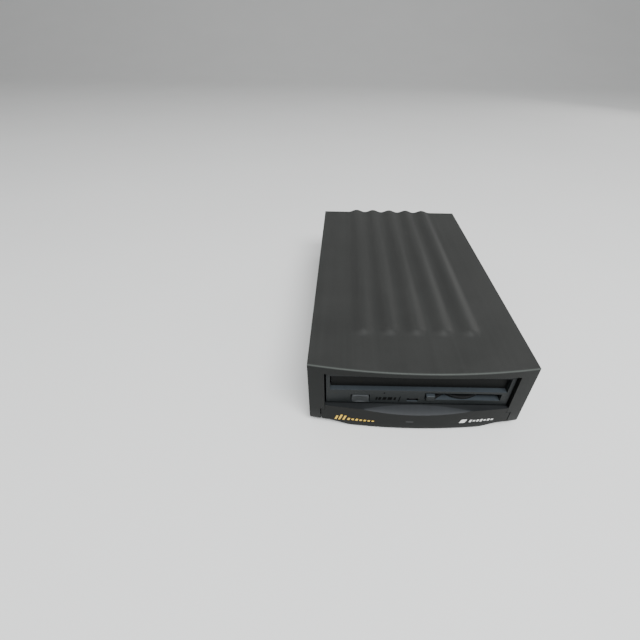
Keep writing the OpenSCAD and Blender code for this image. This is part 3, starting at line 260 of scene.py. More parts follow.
def face_front(points):
    """Turns an upright prism so that its axis z runs backwards along y and its own y points up."""
    return np.column_stack([points[:, 0], points[:, 2], points[:, 1]])


def lie_back(solid, at):
    """Prism laid along +y at a place (x, y, z); its faces are turned round to keep pointing outwards."""
    points, faces = solid
    return face_front(points) + at, [f[::-1] for f in faces]


def join(*solids):
    """One list of points and faces from several solids."""
    points, faces, start = [], [], 0
    for p, f in solids:
        points.append(np.asarray(p))
        faces += [[int(v) + start for v in face] for face in f]
        start += len(p)
    return np.concatenate(points), faces


def sharp_edges(mesh, angle):
    """Whether each edge's two faces meet at more than angle, and its midpoint in mm; the mesh is closed."""
    edge = np.empty(len(mesh.loops), int)
    mesh.loops.foreach_get("edge_index", edge)
    totals = np.empty(len(mesh.polygons), int)
    mesh.polygons.foreach_get("loop_total", totals)
    normal = np.empty(len(totals) * 3)
    mesh.polygons.foreach_get("normal", normal)
    normal = normal.reshape(-1, 3)
    pairs = np.repeat(np.arange(len(totals)), totals)[np.argsort(edge, kind="stable")].reshape(-1, 2)
    cosine = (normal[pairs[:, 0]] * normal[pairs[:, 1]]).sum(1)
    ends = np.empty(len(mesh.edges) * 2, int)
    mesh.edges.foreach_get("vertices", ends)
    co = np.empty(len(mesh.vertices) * 3)
    mesh.vertices.foreach_get("co", co)
    middle = co.reshape(-1, 3)[ends.reshape(-1, 2)].mean(1) / MM
    return cosine < math.cos(math.radians(angle)), middle


def soften(piece, width, share=None, segments=3, angle=35):
    """Rounds a piece's sharp edges by width; share(x, y, z) scales that by where an edge's middle is."""
    sharp, middle = sharp_edges(piece.data, angle)
    amount = np.ones(len(middle)) if share is None else share(*middle.T)
    weight = piece.data.attributes.new("bevel_weight_edge", "FLOAT", "EDGE")
    weight.data.foreach_set("value", np.where(sharp, amount, 0).astype(np.float32))
    bevel = piece.modifiers.new("Rounded edges", "BEVEL")
    bevel.limit_method = "WEIGHT"
    bevel.width = width * MM
    bevel.segments = segments
    bevel.harden_normals = True
    return piece


def settle(piece):
    """Bakes a piece's modifiers into its mesh."""
    bpy.context.view_layer.update()
    shape = bpy.data.meshes.new_from_object(piece.evaluated_get(bpy.context.evaluated_depsgraph_get()))
    mark_upward(shape)
    piece.modifiers.clear()
    piece.data = shape
    return piece


def carve(piece, solid, operation="DIFFERENCE"):
    """Cuts a closed solid out of a piece, or welds it on with operation UNION."""
    tool = make_mesh("tool", *solid)
    cut = piece.modifiers.new("Cut", "BOOLEAN")
    cut.object = tool
    cut.operation = operation
    cut.solver = "EXACT"
    settle(piece)
    bpy.data.objects.remove(tool)
    return piece


def dress(piece, body, slot, finish, *nodes):
    """Rides a piece on a body, names its finish, and says which CAD nodes it stands for; its slot is not
    used.
    """
    piece.data.materials.clear()
    piece.data.materials.append(finish)
    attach(piece, body)
    if nodes:
        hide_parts(*nodes)
    return piece


# ---------- finishes ----------

class Field:
    """A number that varies over a surface; arithmetic on it adds Math nodes."""

    def __init__(self, finish, socket):
        self.finish = finish
        self.socket = socket

    def math(self, operation, *others):
        return self.finish.make("ShaderNodeMath", {"operation": operation}, dict(enumerate((self, *others))))

    def __add__(self, other):
        return self.math("ADD", other)

    def __mul__(self, other):
        return self.math("MULTIPLY", other)

    def __sub__(self, other):
        return self.math("SUBTRACT", other)

    def __rsub__(self, other):
        return self.finish.make("ShaderNodeMath", {"operation": "SUBTRACT"}, {0: other, 1: self})

    __radd__ = __add__
    __rmul__ = __mul__


class Finish:
    """One material: a Principled shader and the nodes that feed it."""

    def __init__(self, name, **constants):
        self.material = bpy.data.materials.new(name)
        self.material.use_nodes = True
        self.tree = self.material.node_tree
        self.tree.nodes.clear()
        self.shader = self.tree.nodes.new("ShaderNodeBsdfPrincipled")
        output = self.tree.nodes.new("ShaderNodeOutputMaterial")
        self.tree.links.new(self.shader.outputs[0], output.inputs[0])
        for socket, value in constants.items():
            self.shader.inputs[socket.replace("_", " ")].default_value = value

    def make(self, kind, settings=None, inputs=None, output=0):
        """Adds a node: its settings are set first, then the values or links of its sockets."""
        node = self.tree.nodes.new(kind)
        for name, value in (settings or {}).items():
            if name == "stops":
                while len(node.color_ramp.elements) < len(value):
                    node.color_ramp.elements.new(0.5)
                for stop, (place, grey) in zip(node.color_ramp.elements, value):
                    stop.position = place
                    stop.color = (grey, grey, grey, 1)
            else:
                setattr(node, name, value)
        for name, value in (inputs or {}).items():
            self.feed(node.inputs[name], value)
        return Field(self, node.outputs[output])

    def feed(self, socket, value):
        if isinstance(value, Field):
            self.tree.links.new(value.socket, socket)
        else:
            socket.default_value = value

    def axes(self):
        """Object coordinates x, y and z, in metres."""
        place = self.make("ShaderNodeTexCoord", output=3)
        return [self.make("ShaderNodeSeparateXYZ", {}, {"Vector": place}, output=n) for n in range(3)]

    def at(self, stretch=(1, 1, 1)):
        """Object coordinates, stretched."""
        place = self.make("ShaderNodeTexCoord", output=3)
        return self.make("ShaderNodeMapping", {}, {"Vector": place, "Scale": stretch})

    def noise(self, grain, detail, stretch=(1, 1, 1)):
        """Cloudy pattern from 0 to 1 whose blotches are grain millimetres across."""
        return self.make("ShaderNodeTexNoise", {}, {"Vector": self.at(stretch), "Scale": 1000 / grain,
                                                    "Detail": detail, "Roughness": 0.5})

    def ramp(self, value, *stops):
        """Grey level that runs through (value, level) stops."""
        return self.make("ShaderNodeValToRGB", {"stops": stops}, {"Fac": value})

    def blend(self, share, first, second):
        """Colour between two colours."""
        mix = self.tree.nodes.new("ShaderNodeMix")
        mix.data_type = "RGBA"
        for name, value in (("Factor", share), ("A", first), ("B", second)):
            socket = [s for s in mix.inputs if s.name == name and s.enabled][0]
            if name != "Factor" and not isinstance(value, Field):
                value = (*value[:3], 1)
            self.feed(socket, value)
        return Field(self, [s for s in mix.outputs if s.enabled][0])

    def colour(self, value):
        self.feed(self.shader.inputs["Base Color"], value)
        return self

    def roughness(self, value):
        self.feed(self.shader.inputs["Roughness"], value)
        return self

    def bump(self, height, depth):
        """Relief of depth millimetres."""
        relief = self.make("ShaderNodeBump", {}, {"Height": height, "Distance": depth * MM, "Strength": 1.0})
        self.feed(self.shader.inputs["Normal"], relief)
        return self


def shade(colour, factor):
    """Colour made darker or lighter by a factor."""
    return tuple(min(1.0, c * factor) for c in colour)


def moulded(name, colour, rough, grain=0.55, relief=0.02, mottle=0.1, dust=0.03, shine=0.25,
            top_light=(2.6, 2.7, 2.8), level=1.0, highlight_band=None):
    """Textured moulding: spark-eroded grain, faint mottling, dust specks, and a painted top light on what
    faces up.

    The painted top light is the colour's grey times three given factors, patchy with clouds and streaks, and
    the dust specks lie in it; level is how much of it stays on level surfaces.
    The last argument, a function of the finish, gives the share of surface lightened tenfold as a painted
    highlight.
    """
    f = Finish(name, Specular_IOR_Level=shine)
    facing_up = f.make("ShaderNodeAttribute", {"attribute_name": "upward"}, output=2)
    pores = f.noise(grain, 3)
    clouds = f.noise(26, 4)
    specks = f.ramp(f.noise(1.1, 1), (0.66, 0), (0.74, 1))
    streaks = f.noise(3, 2, (1, 0.03, 1))
    tone = f.blend(clouds * 0.6 + pores * 0.4, shade(colour, 1 - mottle), shade(colour, 1 + mottle))
    grey = sum(colour) / 3
    # painted top light: the colour mixed towards a lighter grey, patchy with clouds and streaks
    top_lit = f.blend(0.35 + clouds * 0.3 + streaks * 0.2, tone, tuple(grey * h for h in top_light))
    dust_and_top_light = f.blend(specks * dust * 8, top_lit, shade(colour, 4))
    # the painted top light and its dust specks go on what faces up, scaled by level on level faces
    sloping = f.ramp(facing_up, (0.2, 0), (0.85, 1))
    flat = f.ramp(facing_up, (0.93, 0), (0.99, 1))
    tone = f.blend(sloping * (1 - flat * (1 - level)), tone, dust_and_top_light)
    # painted highlight: the band's share is lightened to ten times the colour
    f.colour(f.blend(highlight_band(f), tone, shade(colour, 10)) if highlight_band else tone)
    f.roughness(rough + (clouds - 0.5) * 0.12 + (pores - 0.5) * 0.1)
    f.bump(pores + f.noise(grain * 0.4, 1) * 0.5, relief)
    return f.material


def sheet_metal(name, colour, rough, stretch=(1, 14, 14)):
    """Rolled or turned metal with fine lines along the axis that is stretched least."""
    f = Finish(name, Metallic=1.0)
    lines = f.noise(2.2, 4, stretch)
    blots = f.noise(14, 3)
    f.colour(f.blend(lines * 0.5 + blots * 0.5, shade(colour, 0.84), shade(colour, 1.12)))
    f.roughness(rough + (lines - 0.5) * 0.25 + (blots - 0.5) * 0.15)
    f.bump(lines, 0.004)
    return f.material


def cast_metal(name, colour, rough):
    """Die-cast metal with a fine grain and faint flow marks."""
    f = Finish(name, Metallic=1.0)
    grain = f.noise(0.5, 3)
    flow = f.noise(18, 5, (1, 0.4, 1))
    f.colour(f.blend(flow, shade(colour, 0.8), shade(colour, 1.15)))
    f.roughness(rough + (flow - 0.5) * 0.2 + (grain - 0.5) * 0.15)
    f.bump(grain, 0.02)
    return f.material


def soft_rubber(name, colour):
    f = Finish(name, Specular_IOR_Level=0.35)
    grain = f.noise(0.4, 3)
    scuff = f.noise(5, 4)
    f.colour(f.blend(scuff, colour, shade(colour, 1.9)))
    f.roughness(0.72 + (scuff - 0.5) * 0.2)
    f.bump(grain, 0.03)
    return f.material


def clear_lens(name, colour, coat=0.6):
    """Tinted clear plastic with faint flow lines."""
    f = Finish(name, Coat_Weight=coat, Coat_Roughness=0.08, Specular_IOR_Level=coat)
    flow = f.noise(7, 2, (1, 1, 4))
    f.colour(f.blend(flow, shade(colour, 0.85), shade(colour, 1.15)))
    f.roughness(0.2 + flow * 0.1)
    f.bump(flow, 0.004)
    return f.material


def circuit(name):
    """Green laminate with copper tracks that show faintly through the solder mask."""
    f = Finish(name, Coat_Weight=0.25, Coat_Roughness=0.2)
    cells = f.make("ShaderNodeTexBrick", {}, {"Vector": f.at(), "Scale": 160.0, "Mortar Size": 0.035,
                                              "Color1": (0, 0, 0, 1), "Color2": (0.25, 0.25, 0.25, 1),
                                              "Mortar": (1, 1, 1, 1)})
    f.colour(f.blend(cells, (0.012, 0.09, 0.035), (0.05, 0.2, 0.08)))
    f.roughness(0.42 + f.noise(4, 3) * 0.15)
    f.bump(cells, 0.03)
    return f.material


def wound_wire(name, colour):
    """Enamelled wire: fine ridges across the winding, with painted shade in their grooves and a painted
    highlight on their crests.
    """
    f = Finish(name, Metallic=0.8)
    turns = f.make("ShaderNodeTexWave", {"wave_type": "RINGS", "rings_direction": "Z"},
                   {"Vector": f.at(), "Scale": 900.0, "Distortion": 0.4, "Detail": 1.0})
    # painted shade and highlight: the colour follows the relief's rings
    f.colour(f.blend(turns, shade(colour, 0.55), shade(colour, 1.3)))
    f.roughness(0.3 + f.noise(3, 2) * 0.15)
    f.bump(turns, 0.05)
    return f.material


def ribbon(name, colour):
    """Flat cable: a rounded ridge for every wire, side by side across x."""
    f = Finish(name, Specular_IOR_Level=0.4)
    pitch = 1.27
    ridges = f.make("ShaderNodeTexWave", {"wave_type": "BANDS", "bands_direction": "X"},
                    {"Vector": f.at(), "Scale": math.pi / (10 * pitch * MM)})
    grime = f.noise(9, 3)
    f.colour(f.blend(grime, shade(colour, 0.85), shade(colour, 1.1)))
    f.roughness(0.4 + grime * 0.12)
    f.bump(ridges, 0.4)
    return f.material


def printed(name, colour, rough=0.45, shine=0.4):
    """Pad-printed ink: slightly uneven cover."""
    f = Finish(name, Specular_IOR_Level=shine)
    cover = f.noise(0.8, 3)
    f.colour(f.blend(cover, shade(colour, 0.82), shade(colour, 1.08)))
    f.roughness(rough + (cover - 0.5) * 0.2)
    f.bump(cover, 0.006)
    return f.material


def front_edge_highlight(f):
    """Painted highlight: a lighter band along the case's upper front edge, in place of the light its rounded
    edge catches.

    Its share is (1 - |y - arc(x)| / band) times (1 - depth below the top / band), each held above 0.
    """
    band = 0.95 * MM
    x, y, z = f.axes()
    ahead = (y - (x * x * (0.5 / (BOW_R * MM)) + Y_NOSE * MM)).math("ABSOLUTE")
    near = (1 - ahead * (1 / band)).math("MAXIMUM", 0)
    return near * (1 - (Z_TOP * MM - z) * (1 / band)).math("MAXIMUM", 0)


# case: painted top light on what faces up and a painted highlight along the upper front edge
CASE = moulded("charcoal case moulding", (0.0075, 0.0083, 0.0077), 0.44, shine=0.16,
               top_light=(5.3, 5.35, 5.15), highlight_band=front_edge_highlight)
# tray: bluish painted top light, at half strength on level faces, so the flat sill reads as painted shade
# beside the sloping scoop
CHIN = moulded("charcoal tray moulding", (0.0066, 0.0072, 0.0067), 0.44, shine=0.14,
               top_light=(4.9, 5.3, 5.9), level=0.5)
# face: bluish painted top light on its ledges and whatever else faces up
FACE = moulded("blue-black face moulding", (0.012, 0.0138, 0.0142), 0.42, 0.4, 0.012, 0.08, 0.02, 0.18,
               top_light=(3.6, 4.3, 5.0))
# flap: black, darkened further as the painted shadow of the lintel above it
FLAP = moulded("black flap moulding darkened as painted shadow", (0.0068, 0.0072, 0.007), 0.42, 0.4, 0.012, 0.08, 0.02, 0.08)
# lever hub and arm: the face's plastic at half its colour and without top light, as painted shade where it
# sits in its slot
LEVER_IN_SHADE = moulded("lever moulding darkened as painted shade", (0.006, 0.0065, 0.007), 0.5, 0.4, 0.012, 0.08, 0.02, 0.1,
                top_light=(1, 1, 1))
KEY = moulded("grey key moulding", (0.025, 0.0272, 0.0285), 0.42, 0.4, 0.008, 0.03, 0.0,
              top_light=(3.0, 3.2, 3.4))
DARK = moulded("black nylon", (0.018, 0.018, 0.02), 0.5, 0.5, 0.015, 0.12, 0.02)
PANEL = moulded("black panel moulding", (0.03, 0.032, 0.032), 0.5)
CREAM = moulded("cream nylon", (0.6, 0.57, 0.47), 0.45, 0.6, 0.01, 0.05, 0.0)
SLEEVE = moulded("red lead sheath", (0.4, 0.035, 0.025), 0.42, 1.2, 0.01, 0.08, 0.0)
FOOT = soft_rubber("black foot rubber", (0.016, 0.016, 0.016))
STEEL = sheet_metal("zinc-plated steel", (0.6, 0.6, 0.57), 0.32)
PLATE = sheet_metal("rolled steel sheet", (0.55, 0.56, 0.57), 0.36)
CAST = cast_metal("cast aluminium", (0.5, 0.51, 0.52), 0.5)
TURNED = sheet_metal("turned aluminium", (0.6, 0.61, 0.62), 0.28, (14, 14, 1))
NICKEL = sheet_metal("nickel plate", (0.52, 0.51, 0.48), 0.18, (3, 3, 3))
GOLD = sheet_metal("gold flash", (0.72, 0.52, 0.2), 0.25, (3, 3, 3))
COPPER = wound_wire("enamelled copper", (0.55, 0.24, 0.09))
LAMINATE = circuit("green laminate")
LENS = clear_lens("smoked window", (0.012, 0.0115, 0.0125), 0.1)
AMBER = clear_lens("amber epoxy", (0.7, 0.4, 0.08))
YELLOW = printed("yellow print", (0.78, 0.5, 0.05))
WHITE = printed("white print", (0.72, 0.72, 0.7))
WIRES = ribbon("grey flat cable", (0.3, 0.31, 0.32))
FAINT = printed("faint print", (0.035, 0.037, 0.039))
# black print, also used for the pinhole's disc of painted shade
INK_AND_SHADE = printed("black print and painted shade", (0.003, 0.003, 0.003), 0.6, 0.03)

SLOT_FINISH = {
    "case_plastic": CASE, "panel_plastic": PANEL, "rubber": FOOT, "zinc_steel": STEEL, "chassis_metal": CAST,
    "plate_steel": PLATE, "bezel_plastic": FACE, "door_plastic": FLAP, "button_plastic": KEY,
    "black_plastic": DARK, "smoked_lens": LENS, "amber_led": AMBER, "motor_metal": TURNED,
    "arm_aluminium": TURNED, "coil_copper": COPPER, "magnet_nickel": NICKEL, "cream_plastic": CREAM,
    "ribbon_sheath": WIRES, "lead_sheath": SLEEVE, "board_laminate": LAMINATE, "pin_brass": GOLD,
}
for part in frame["record"]["subparts"]:
    node = frame["nodes"][part["node"]]
    node.data.materials.clear()
    node.data.materials.append(SLOT_FINISH[part["material_slot"]])


# ---------- the case ----------

def ridge_height(x, y):
    """Five raised-cosine ridges side by side, each with a rounded nose.

    Across x a ridge is H(1 + cos(2 pi d / pitch)) / 2 for |d| < pitch / 2. Along y it rises from its nose
    over RIDGE_RISE, and the rise starts later away from the crest, so that the nose is round.
    """
    nearest = np.round(np.clip(x / RIDGE_PITCH, -(RIDGE_COUNT // 2), RIDGE_COUNT // 2))
    d = x - nearest * RIDGE_PITCH
    across = np.where(np.abs(d) < RIDGE_PITCH / 2, (1 + np.cos(2 * math.pi * d / RIDGE_PITCH)) / 2, 0)
    back = RIDGE_PITCH / 2 - np.sqrt(np.maximum((RIDGE_PITCH / 2) ** 2 - d ** 2, 0))
    return RIDGE_H * across * ease((y - RIDGE_NOSE - back * 0.8) / RIDGE_RISE)


def top_cover():
    """The upper shell: a box with a bowed front, open below, behind and round the mechanism's face."""
    x_half = np.array([HALF_W, HALF_W - WALL, CHIN_X, OPEN_X])
    xs = np.unique(np.concatenate([-x_half, np.linspace(-OPEN_X, OPEN_X, 109), x_half]))
    ys = np.concatenate([[Y_NOSE, Y_LIP, Y_FRONT_IN, Y_FRONT_IN + 6, Y_FRONT_IN + 11],
                         np.arange(RIDGE_NOSE - 2, RIDGE_NOSE + 13, 0.75), np.linspace(-55, Y_REAR, 12)])
    z_open, z_pocket = Z_SILL + OPEN_H, Z_SILL + POCKET_H
    foot_rows, foot_r = 3, 1.7
    turn = np.radians(90 * np.arange(foot_rows + 1) / foot_rows)
    zs = np.concatenate([Z_BASE + foot_r * (1 - np.cos(turn)),
                         [Z_SEAM, z_open, z_pocket, Z_TOP - WALL, Z_TOP]])
    open_row, top_row = foot_rows + 2, foot_rows + 5
    y_edge = front_y(OPEN_X)

    def filled(cx, cy, cz):
        ax = np.abs(cx)
        inside = (ax < HALF_W - WALL) & (cy > Y_FRONT_IN) & (cz < Z_TOP - WALL)
        opening = (ax < OPEN_X) & (cy < Y_LIP) & (cz < z_open)
        pocket = (ax < OPEN_X) & (cy > Y_LIP) & (cy < Y_FRONT_IN) & (cz < z_pocket)
        seam = (ax < CHIN_X) & (cy < Y_FRONT_IN) & (cz < Z_SEAM)
        return ~(inside | opening | pocket | seam)

    def place(x, y, z, i, j, k):
        foot = k <= foot_rows
        side = np.abs(x) > HALF_W - 0.1
        skin = side | (k == top_row) | (foot & (j == 1) & (np.abs(x) > CHIN_X - 0.1))
        back = foot_r * (1 - np.sin(turn[np.minimum(k, foot_rows)])) * foot
        y = np.where(j == 0, front_y(x) + back, y)
        for row, behind in ((1, 2.4), (2, 5.2)):
            y = np.where(skin & (j == row), front_y(x) + behind, y)
        over = np.abs(x) < OPEN_X + 0.01
        lintel = z_open + (y_edge - y) * LIP_TAN
        z = np.where(over & (k == open_row) & (j < 2), lintel, z)
        for line, share in ((open_row + 1, 0.35), (open_row + 2, 0.7)):
            z = np.where(over & (k == line) & (j == 0), lintel + (Z_TOP - lintel) * share, z)
        z = z + np.where(k >= top_row - 1, ridge_height(x, y), 0) * (j > 0)
        return x - np.sign(x) * back * side, y, z

    def share(x, y, z):
        outer = (z > Z_TOP - 0.5) | ((np.abs(x) > HALF_W - 0.1) & (z > Z_BASE + foot_r))
        seam = (z < Z_SILL) & (np.abs(x) < CHIN_X + 0.1)
        return np.where(outer, 1.0, np.where(seam, 0.12, 0.3))

    piece = make_mesh("top_cover_shell", *block_solid(xs, ys, zs, filled, place))
    shank_r, z_joint, z_root = 1.52, Z_BASE + WALL + 3, Z_TOP - WALL + 1
    post = [(shank_r, z_joint), (CASE_POST_R, z_joint), (CASE_POST_R, z_root), (shank_r, z_root)]
    spots = corners(*box_mm("case_screws"), HEAD_R)
    carve(piece, join(*(turned(post, at, True) for at in spots)), "UNION")
    return soften(piece, 0.8, share)


def chin_top(x, y):
    """Sill with a scoop: a plane that climbs backwards plus x^2 / SCOOP_D, held below the sill's height."""
    return np.minimum(Z_SILL, Z_SILL - SCOOP_H + (y - Y_NOSE) * LIP_TAN + x * x / SCOOP_D)


def bottom_tray():
    """The lower shell: floor with vents, side lips, and the chin with its scoop and hanging lip."""
    side, lip_in = TRAY_HIGH[0], TRAY_HIGH[0] - 1.6
    low_x, high_x = CHIN_X - SEAM_SIDE, OPEN_X - SILL_SIDE
    vent_x, vent_half = 17.0, 1.2
    floor_top, lip_top, curb_top = Z_BASE + WALL, Z_BASE + WALL + 6, Z_BASE + WALL + 2.4
    drop, flat, blend, lip_r = Z_BASE - TRAY_LOW[2], 36.0, 14.0, 1.9
    y_chin = Y_FRONT_IN + 1
    y_floor = Y_FRONT_IN + 0.2
    y_hang = Y_NOSE + 13
    y_curb = PANEL_LOW[1] - 2.4
    sink = Z_SILL - 1.5
    vents = np.array([c + 6 * n for c in (-30, 30) for n in range(-3, 4)])
    half = np.array([side, lip_in, low_x, high_x, vent_x])
    xs = np.unique(np.round(np.concatenate([-half, np.linspace(-high_x, high_x, 81), half]), 4))
    front_rows = 1
    ys = np.concatenate([[Y_NOSE, Y_NOSE + 1, Y_LIP, y_floor, y_chin, y_hang, y_hang + 0.5],
                         np.sort(np.concatenate([vents - vent_half, vents + vent_half])),
                         [y_curb, PANEL_HIGH[1], TRAY_HIGH[1]]])
    curve = 6
    zs = np.concatenate([Z_BASE + WALL * np.linspace(0, 0.9, curve + 1), [floor_top, curb_top, lip_top,
                         Z_SEAM - SEAM, sink, Z_SILL]])
    top = len(zs) - 1

    def filled(cx, cy, cz):
        ax = np.abs(cx)
        vent = (np.abs(cy[..., None] - vents).min(-1) < vent_half) & (ax < vent_x)
        floor = (cy > y_floor) & (cz < floor_top) & ~vent
        lips = (cy > y_floor) & (cy < y_curb) & (ax > lip_in) & (cz < lip_top)
        curb = (cy > PANEL_HIGH[1]) & (cz < curb_top)
        ledge = (cy > Y_LIP) & (cz > sink)
        below_seam = (ax < low_x) & (cz < Z_SEAM - SEAM)
        above_seam = (ax < high_x) & (cz < Z_SILL) & ~ledge
        return floor | lips | curb | ((cy < y_chin) & (below_seam | above_seam))

    def place(x, y, z, i, j, k):
        yf = front_y(x)
        crease = np.clip(Y_NOSE + (SCOOP_H - x * x / SCOOP_D) / LIP_TAN, yf + 0.8, Y_LIP - 0.25)
        y = np.where(j <= front_rows, yf + (crease - yf) * j / front_rows, y)
        z_cap = chin_top(x, y)
        ahead = (j < front_rows + 2) & (np.abs(x) < low_x + 0.01)
        z = np.where(ahead & (k == top), z_cap, z)
        for row, depth in ((top - 1, 0.9), (top - 2, 1.8)):
            z = np.where(ahead & (k == row) & (j <= front_rows), np.minimum(z, z_cap - depth), z)
        hang = drop * (1 - ease((np.abs(x) - flat) / blend)) * (y < y_hang + 0.1)
        z_low = Z_BASE - hang
        a = np.radians(90 * np.minimum(k, curve) / curve)
        round_y = lip_r * (1 - np.sin(a))
        round_z = z_low + lip_r * (1 - np.cos(a))
        edge = (j == 0) & (k <= curve)
        z = np.where(edge, round_z, np.where((k <= curve) & (y < y_hang + 0.1), z_low + (z - Z_BASE), z))
        y = np.where(edge, yf + round_y, y)
        under = (k == 0) & (j > 0) & (np.abs(x) < low_x + 0.01)
        y = np.where(under, np.maximum(y, yf + lip_r + 0.3 * j), y)
        return x, y, z

    piece = make_mesh("bottom_tray_shell", *block_solid(xs, ys, zs, filled, place))
    head_depth, shank_r, foot_r, foot_gap, foot_seat = 2.4, 1.6, 6.55, 0.05, 0.8
    posts, cutters, spots = [], [], []
    for name, seat_r, post_r, post_top in (("case_screws", HEAD_R + 0.1, CASE_POST_R, lip_top - 3),
                                           ("drive_screws", HEAD_R + 0.2, DRIVE_POST_R, Z_DRIVE - 1)):
        for at in corners(*box_mm(name), HEAD_R):
            spots.append([*at[:2], post_r])
            posts.append(turned([(post_r, floor_top - 1), (post_r, post_top)], at))
            cutters.append(turned([(seat_r, Z_BASE - 3), (seat_r, Z_BASE + head_depth),
                                   (shank_r, Z_BASE + head_depth), (shank_r, post_top + 1)], at))
    for at in corners(FEET_LOW, FEET_HIGH, foot_r - foot_gap):
        spots.append([*at[:2], foot_r])
        cutters.append(turned([(foot_r, Z_BASE - 3), (foot_r, Z_BASE + foot_seat)], at))
    carve(piece, join(*posts), "UNION")
    carve(piece, join(*cutters))
    spots = np.array(spots)

    def share(x, y, z):
        """The edges of posts, screw holes and foot seats stay sharp."""
        reach = np.hypot(x[:, None] - spots[:, 0], y[:, None] - spots[:, 1]) - spots[:, 2]
        return np.where(reach.min(1) < 0.3, 0, 1)

    return soften(piece, 0.35, share)


dress(top_cover(), "root", "case_plastic", CASE, "top_cover")
dress(bottom_tray(), "root", "case_plastic", CHIN, "bottom_tray")


# ---------- the mechanism's face ----------

SLOT_X = 48.6
Z_SLOT, Z_SLOT_TOP = Z_DRIVE + 10.1, Z_DRIVE + 20.7
LEVER_X0, LEVER_X1 = POST_LOW[0] + 3.1 - 21.1, POST_LOW[0] + 3.1 + 21.1
LEVER_Z0, LEVER_Z1 = Z_DRIVE + 3.3, Z_DRIVE + 8.4
BUTTON_X, BUTTON_Z = (BUTTON_LOW[0] + BUTTON_HIGH[0]) / 2, Z_DRIVE + 3.4
BUTTON_W, BUTTON_H = 9.7, 5.1
LED_X, LED_Z, LED_W, LED_H = -2.5, Z_DRIVE + 2.7, 6.3, 2.4
BEZEL_T = 4.0
HINGE = (PIN_LOW + PIN_HIGH) / 2
PIN_R = (PIN_HIGH[2] - PIN_LOW[2]) / 2


def hinge_sleeve(x0, x1, gap):
    """Round sleeve about the door's hinge axis, from x0 to x1, with softened rims.

    Its bore clears the pin by gap.
    """
    outer, inner, rim = 1.5, PIN_R + gap, 0.15
    profile = [(inner, x0), (outer - rim, x0), (outer, x0 + rim),
               (outer, x1 - rim), (outer - rim, x1), (inner, x1)]
    points, faces = turned(profile, (0, 0, 0), True)
    return np.column_stack([points[:, 2], points[:, 0] + HINGE[1], points[:, 1] + HINGE[2]]), faces


def box(low, high):
    """Plain box between two corners."""
    return block_solid(*zip(low, high), every_cell, stay)


def drive_bezel():
    """The face: a plate with the slots and windows, lugs for the door's pin and an arm at each side."""
    hole_w, hole_h = BUTTON_W + 0.8, BUTTON_H + 0.8
    windows = [(-SLOT_X, SLOT_X, Z_SLOT, Z_SLOT_TOP), (LEVER_X0, LEVER_X1, LEVER_Z0, LEVER_Z1),
               (BUTTON_X - hole_w / 2, BUTTON_X + hole_w / 2, BUTTON_Z - hole_h / 2, BUTTON_Z + hole_h / 2),
               (LED_X - LED_W / 2, LED_X + LED_W / 2, LED_Z - LED_H / 2, LED_Z + LED_H / 2)]
    xs = np.unique(np.round([-BEZEL_HIGH[0], BEZEL_HIGH[0], *(v for w in windows for v in w[:2])], 4))
    zs = np.unique(np.round([Z_DRIVE, BEZEL_HIGH[2], *(v for w in windows for v in w[2:])], 4))
    y_lintel, y_back = Y_FACE + 2.6, Y_FACE + BEZEL_T
    ys = np.array([Y_FACE, y_lintel, y_back])

    def filled(cx, cy, cz):
        solid = np.ones(cx.shape, bool)
        for x0, x1, z0, z1 in windows:
            solid &= ~((cx > x0) & (cx < x1) & (cz > z0) & (cz < z1))
        return solid & ~((np.abs(cx) < SLOT_X) & (cz > Z_SLOT_TOP) & (cy > y_lintel))

    face = block_solid(xs, ys, zs, filled, stay)
    lug_w, arm_w, arm_l, arm_x = 2.4, 1.1, 9.0, BEZEL_HIGH[0] - 2.0
    behind = []
    for x0 in (-SLOT_X, SLOT_X - lug_w):
        behind.append(hinge_sleeve(x0, x0 + lug_w, 0.01))
        behind.append(box((x0 + 0.1, y_lintel - 0.5, HINGE[2] - 0.8),
                          (x0 + lug_w - 0.1, HINGE[1] - 0.9, HINGE[2] + 1.4)))
    for x0 in (-arm_x, arm_x - arm_w):
        behind.append(box((x0, y_back - 0.5, Z_DRIVE + 2), (x0 + arm_w, y_back + arm_l, Z_DRIVE + 7)))
    return soften(make_mesh("drive_bezel_face", *join(face, *behind)), 0.28)


def cartridge_door():
    """The flap: a thin plate with a hinge barrel in two lengths along its upper edge."""
    skirt = DOOR_HIGH[2] - 3.4
    barrel_half, gap_half = SLOT_X - 2.6, 6
    y0, y1 = DOOR_LOW[1], DOOR_LOW[1] + 1.5
    xs = np.array([-DOOR_HIGH[0], -barrel_half, -gap_half, gap_half, barrel_half, DOOR_HIGH[0]])
    zs = np.array([DOOR_LOW[2], skirt, HINGE[2] - PIN_R - 0.1])

    def filled(cx, cy, cz):
        return (cz < skirt) | ((np.abs(cx) < barrel_half) & (np.abs(cx) > gap_half))

    plate = block_solid(xs, np.array([y0, y1]), zs, filled, stay)
    barrels = [hinge_sleeve(-barrel_half, -gap_half, 0.05), hinge_sleeve(gap_half, barrel_half, 0.05)]
    return soften(make_mesh("cartridge_flap", *join(plate, *barrels)), 0.25)


def door_spring():
    """Torsion spring: a helix round the hinge pin, y = r sin(a) and z = r cos(a), with a leg in front.

    Its other leg bears on the flap and swings with it, so that leg is a piece of its own.
    """
    low, high = box_mm("door_spring")
    wire_r, turns, steps = 0.25, 9.5, 24
    r = high[2] - HINGE[2] - wire_r
    half = high[0] - wire_r
    a = np.linspace(0, 2 * math.pi * turns, int(steps * turns) + 1)
    coil = np.column_stack([np.linspace(-half, half, len(a)), r * np.sin(a), r * np.cos(a)])
    axis = [0, HINGE[1], HINGE[2]]
    front_leg = [-half, low[1] + wire_r - HINGE[1], r]
    door_leg = np.array([[half, 0, -r], [half, 0.12, -r - 1], [half, 0.12, low[2] + wire_r - HINGE[2]]])
    return (make_mesh("door_spring_coil", *tube(np.concatenate([[front_leg], coil]) + axis, wire_r)),
            make_mesh("door_spring_leg", *tube(door_leg + axis, wire_r)))


